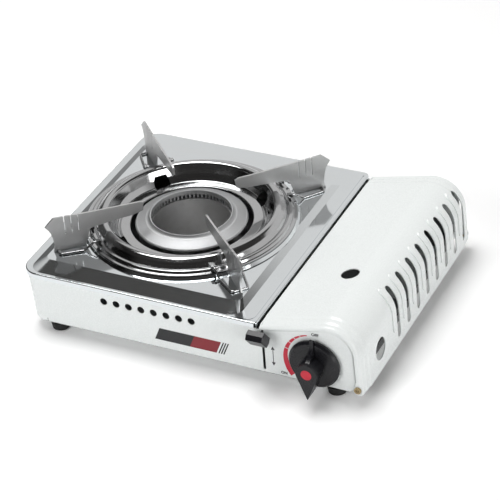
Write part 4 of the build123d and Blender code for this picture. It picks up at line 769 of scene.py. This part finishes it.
@dataclass
class DripBowl:
    """Pressed chrome bowl round the burner: a spun sheet with four slots.

    Attributes:
        paint: source of its material.
        profile: radius, height and bend radius of each corner, from the rim inwards, in millimetres.
        sheet: sheet thickness in millimetres.
        turns: faces round the bowl.
        bends: faces round each bend of the profile.
        slot: length, width and radius of the slots' middles in millimetres.
        slot_angles: directions of the slots in degrees.
        block: depth and middle height of the blocks that cut the slots in millimetres.
        block_sides: faces round such a block.
    """

    paint: Paintbox
    profile: tuple[tuple[float, float, float], ...] = (
        (98.7, 68.9, 0.0),
        (95.6, 68.9, 0.7),
        (94.4, 71.5, 1.0),
        (91.6, 71.7, 1.0),
        (90.4, 70.2, 0.6),
        (87.8, 75.3, 5.0),
        (83.4, 78.3, 4.5),
        (78.4, 78.3, 3.0),
        (74.2, 68.5, 14.0),
        (70.6, 63.0, 5.0),
        (68.2, 61.8, 0.8),
        (66.6, 64.2, 0.8),
        (58.0, 64.2, 0.5),
        (57.4, 62.6, 0.0),
    )
    sheet: float = 0.6
    turns: int = 240
    bends: int = 8
    slot: tuple[float, float, float] = (16.0, 10.0, 71.0)
    slot_angles: tuple[float, ...] = (48.0, 140.0, 228.0, 320.0)
    block: tuple[float, float] = (16.0, 64.0)
    block_sides: int = 48

    def outline(self) -> list[Vector]:
        """Profile with its corners rounded.

        Returns:
            Radius and height of each point in millimetres.
        """
        line = [Vector(self.profile[0][:2])]
        for before, here, after in zip(self.profile, self.profile[1:], self.profile[2:]):
            corner = Vector(here[:2])
            back = (Vector(before[:2]) - corner).normalized()
            ahead = (Vector(after[:2]) - corner).normalized()
            half = back.angle(ahead) / 2
            centre = corner + (back + ahead).normalized() * here[2] / math.sin(half)
            spokes = [corner + way * here[2] / math.tan(half) - centre for way in (back, ahead)]
            start, stop = (math.atan2(spoke.y, spoke.x) for spoke in spokes)
            turn = (stop - start + math.pi) % math.tau - math.pi
            for step in range(self.bends + 1):
                angle = start + turn * step / self.bends
                line.append(centre + Vector((math.cos(angle), math.sin(angle))) * here[2])
        return line + [Vector(self.profile[-1][:2])]

    def cutter(self, angle: float) -> bpy.types.Object:
        """Long rounded block that cuts one slot.

        Args:
            angle: direction of the slot in degrees.

        Returns:
            The block.
        """
        long, wide, radius = self.slot
        depth, height = self.block
        way = math.radians(angle)
        bpy.ops.object.select_all(action="DESELECT")
        bpy.ops.mesh.primitive_cylinder_add(vertices=self.block_sides, radius=wide / 2 * MM, depth=depth * MM)
        block = bpy.context.active_object
        for vertex in block.data.vertices:
            vertex.co.y += math.copysign((long - wide) / 2 * MM, vertex.co.y)
        block.location = mm(BURNER[0] + radius * math.cos(way), BURNER[1] + radius * math.sin(way), height)
        block.rotation_euler = (0.0, 0.0, way)
        return block

    def build(self) -> None:
        """Spin, thicken and slot the bowl, then put it in place of its plain solid."""
        line = self.outline()
        bpy.ops.object.select_all(action="DESELECT")
        bpy.ops.mesh.primitive_grid_add(x_subdivisions=len(line) - 1, y_subdivisions=self.turns, size=1.0)
        bowl = bpy.context.active_object
        for vertex in bowl.data.vertices:
            point = line[round((vertex.co.x + 0.5) * (len(line) - 1))]
            way = (vertex.co.y + 0.5) * math.tau
            vertex.co = mm(BURNER[0] + point.x * math.cos(way), BURNER[1] + point.x * math.sin(way), point.y)
        bpy.ops.object.mode_set(mode="EDIT")
        bpy.ops.mesh.select_all(action="SELECT")
        bpy.ops.mesh.remove_doubles(threshold=0.01 * MM)
        bpy.ops.mesh.normals_make_consistent(inside=False)
        bpy.ops.object.mode_set(mode="OBJECT")
        LOG.info("spun %d points into %d faces", len(line), len(bowl.data.polygons))
        thick = bowl.modifiers.new("sheet", "SOLIDIFY")
        thick.thickness = self.sheet * MM
        thick.offset = 0.0
        bpy.ops.object.modifier_apply(modifier="sheet")
        for angle in self.slot_angles:
            block = self.cutter(angle)
            only(bowl)
            cut = bowl.modifiers.new("slot", "BOOLEAN")
            cut.operation = "DIFFERENCE"
            cut.solver = "EXACT"
            cut.object = block
            bpy.ops.object.modifier_apply(modifier="slot")
            bpy.data.objects.remove(block)
        settle(bowl, "pressed_bowl", SMOOTH)
        self.paint.dress(bowl, self.paint.surface(Surface.CHROME))
        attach(bowl, "tray_group")
        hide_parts("drip_bowl")
        LOG.info("made pressed_bowl, %d faces", len(bowl.data.polygons))


@dataclass
class FrontPrint:
    """Printed marks on the front panel.

    Attributes:
        paint: source of its inks.
        panel: depth of the printed face in millimetres.
        lift: how far the ink stands off the paint.
        knob: (x, z) of the knob's axis.
        scale: angles in degrees between the strips of the arc scale, from OFF to ON.
        scale_gap: angle left open between two strips.
        scale_steps: faces along each strip.
        scale_radius: inner radius of the scale at OFF, and how much it loses towards ON.
        scale_width: width of the scale at OFF, and how much it gains towards ON.
        words: text and (x, z) middle of each word.
        letter: letter height.
        arrow_span: x, lowest and highest z of the double arrow.
        label: lowest and highest z of the slanted label, and how far its top leans to the right.
        label_edges: left edge, change of colour and right edge of the label at its foot.
        label_lines: left edges of the thin lines beside the label.
        line: width of a thin line.
    """

    paint: Paintbox
    panel: float = -119.5
    lift: float = 0.06
    knob: tuple[float, float] = (124.3, 35.0)
    scale: tuple[float, ...] = (104.0, 119.6, 133.2, 147.6, 163.6, 221.0)
    scale_gap: float = 1.4
    scale_steps: int = 14
    scale_radius: tuple[float, float] = (27.2, 1.2)
    scale_width: tuple[float, float] = (0.9, 5.3)
    words: tuple[tuple[str, tuple[float, float]], ...] = (("OFF", (125.2, 64.2)), ("ON", (93.4, 15.2)))
    letter: float = 2.7
    arrow_span: tuple[float, float, float] = (83.7, 20.5, 41.5)
    label: tuple[float, float, float] = (20.0, 33.0, 5.5)
    label_edges: tuple[float, float, float] = (-34.0, 1.0, 27.5)
    label_lines: tuple[float, ...] = (29.2, 31.6, 34.0)
    line: float = 1.3

    def ink(self, name: str, color: tuple[float, float, float]) -> bpy.types.Material:
        """Ink material of one colour.

        Args:
            name: the material's name.
            color: the ink's colour.

        Returns:
            The material.
        """
        dark = tuple(part * 0.8 for part in color)
        finish = Finish(color, dark, rough=(0.3, 0.42), grain=900.0, bump=0.002, smudge=0.4)
        return self.paint.material(name, finish)

    def patch(self, name: str, corners: list[tuple[float, float]], ink: bpy.types.Material) -> None:
        """Four-sided printed patch.

        Args:
            name: piece name.
            corners: four (x, z) corners, anticlockwise from the front.
            ink: its material.
        """
        bpy.ops.object.select_all(action="DESELECT")
        bpy.ops.mesh.primitive_plane_add(size=1.0)
        piece = bpy.context.active_object
        order = [corners[0], corners[1], corners[3], corners[2]]
        for vertex, (x, z) in zip(piece.data.vertices, order):
            vertex.co = mm(x, self.panel - self.lift, z)
        self.finish(piece, name, ink)

    def slanted(self, name: str, left: float, right: float, ink: bpy.types.Material) -> None:
        """Printed patch that leans with the label.

        Args:
            name: piece name.
            left: its left edge at the foot in millimetres.
            right: its right edge at the foot in millimetres.
            ink: its material.
        """
        low, high, slant = self.label
        self.patch(name, [(left, low), (right, low), (right + slant, high), (left + slant, high)], ink)

    def finish(self, piece: bpy.types.Object, name: str, ink: bpy.types.Material) -> None:
        """Name, dress and seat a printed piece on the case.

        Args:
            piece: the printed mesh.
            name: its name.
            ink: its material.
        """
        settle(piece, name)
        self.paint.dress(piece, ink)
        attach(piece, "base")
        LOG.info("made %s", name)

    def arc(self) -> None:
        """Red scale round the knob, thin at OFF and wide at ON: four short strips and a long one."""
        ink = self.ink("ink_red", (0.60, 0.012, 0.04))
        first, last = self.scale[0], self.scale[-1]
        strips = []
        for low, high in zip(self.scale[:-1], self.scale[1:]):
            bpy.ops.object.select_all(action="DESELECT")
            bpy.ops.mesh.primitive_grid_add(x_subdivisions=self.scale_steps, y_subdivisions=1, size=1.0)
            strip = bpy.context.active_object
            for vertex in strip.data.vertices:
                angle = low + (high - low - (self.scale_gap if high < last else 0.0)) * (vertex.co.x + 0.5)
                done = (angle - first) / (last - first)
                inner = self.scale_radius[0] - self.scale_radius[1] * done
                width = self.scale_width[0] + self.scale_width[1] * done
                radius = inner + width * (vertex.co.y + 0.5)
                turn = math.radians(angle)
                vertex.co = mm(
                    self.knob[0] + radius * math.cos(turn),
                    self.panel - self.lift,
                    self.knob[1] + radius * math.sin(turn),
                )
            strips.append(strip)
        for strip in strips:
            strip.select_set(True)
        bpy.context.view_layer.objects.active = strips[0]
        bpy.ops.object.join()
        piece = bpy.context.active_object
        bpy.ops.object.mode_set(mode="EDIT")
        bpy.ops.mesh.select_all(action="SELECT")
        bpy.ops.mesh.normals_make_consistent(inside=False)
        bpy.ops.object.mode_set(mode="OBJECT")
        self.finish(piece, "print_arc", ink)

    def word(self, text: str, middle: tuple[float, float], ink: bpy.types.Material) -> None:
        """Generic switch word.

        Args:
            text: ON or OFF.
            middle: (x, z) of its middle in millimetres.
            ink: its material.
        """
        bpy.ops.object.select_all(action="DESELECT")
        spot = mm(middle[0], self.panel - self.lift, middle[1])
        bpy.ops.object.text_add(location=spot, rotation=(math.pi / 2, 0, 0))
        words = bpy.context.active_object
        words.data.body = text
        words.data.size = self.letter * MM / CAP_SHARE
        words.data.align_x = "CENTER"
        words.data.align_y = "CENTER"
        words.data.fill_mode = "BOTH"
        words.data.offset = STROKE * MM
        bpy.ops.object.convert(target="MESH")
        self.finish(bpy.context.active_object, "print_" + text.lower(), ink)

    def arrow(self, ink: bpy.types.Material) -> None:
        """Double arrow beside the lever slot.

        Args:
            ink: its material.
        """
        x, low, high = self.arrow_span
        shaft, inset, tip, wing, head = 0.35, 2.0, 0.02, 1.9, 3.8
        foot, top = low + inset, high - inset
        self.patch(
            "arrow_shaft", [(x - shaft, foot), (x + shaft, foot), (x + shaft, top), (x - shaft, top)], ink
        )
        foot, top = low + head, high - head
        self.patch("arrow_up", [(x - wing, top), (x + wing, top), (x + tip, high), (x - tip, high)], ink)
        self.patch("arrow_down", [(x - tip, low), (x + tip, low), (x + wing, foot), (x - wing, foot)], ink)

    def stripes(self) -> None:
        """Slanted label: black, then dark red, then three thin lines."""
        black = self.ink("ink_black", (0.012, 0.012, 0.014))
        red = self.ink("ink_dark_red", (0.24, 0.012, 0.02))
        left, change, right = self.label_edges
        self.slanted("label_black", left, change, black)
        self.slanted("label_red", change, right, red)
        for index, x in enumerate(self.label_lines):
            self.slanted(f"label_line_{index}", x, x + self.line, black)

    def build(self) -> None:
        """Make every printed mark."""
        grey = self.ink("ink_grey", (0.045, 0.045, 0.05))
        self.stripes()
        self.arc()
        for text, middle in self.words:
            self.word(text, middle, grey)
        self.arrow(grey)


def main() -> None:
    """Build the stove's visual model."""
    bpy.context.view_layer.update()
    paint = Paintbox()
    slots = {part["node"]: part["material_slot"] for part in frame["record"]["subparts"]}
    for name, node in frame["nodes"].items():
        surface = Surface(slots[name])
        paint.dress(node, paint.surface(surface))
        only(node)
        bpy.ops.object.shade_smooth_by_angle(angle=math.radians(SMOOTH))
        LOG.info("dressed %s", name)
    Studio().build()
    DripBowl(paint).build()
    FrontPrint(paint).build()


if __name__ == "__main__":
    main()
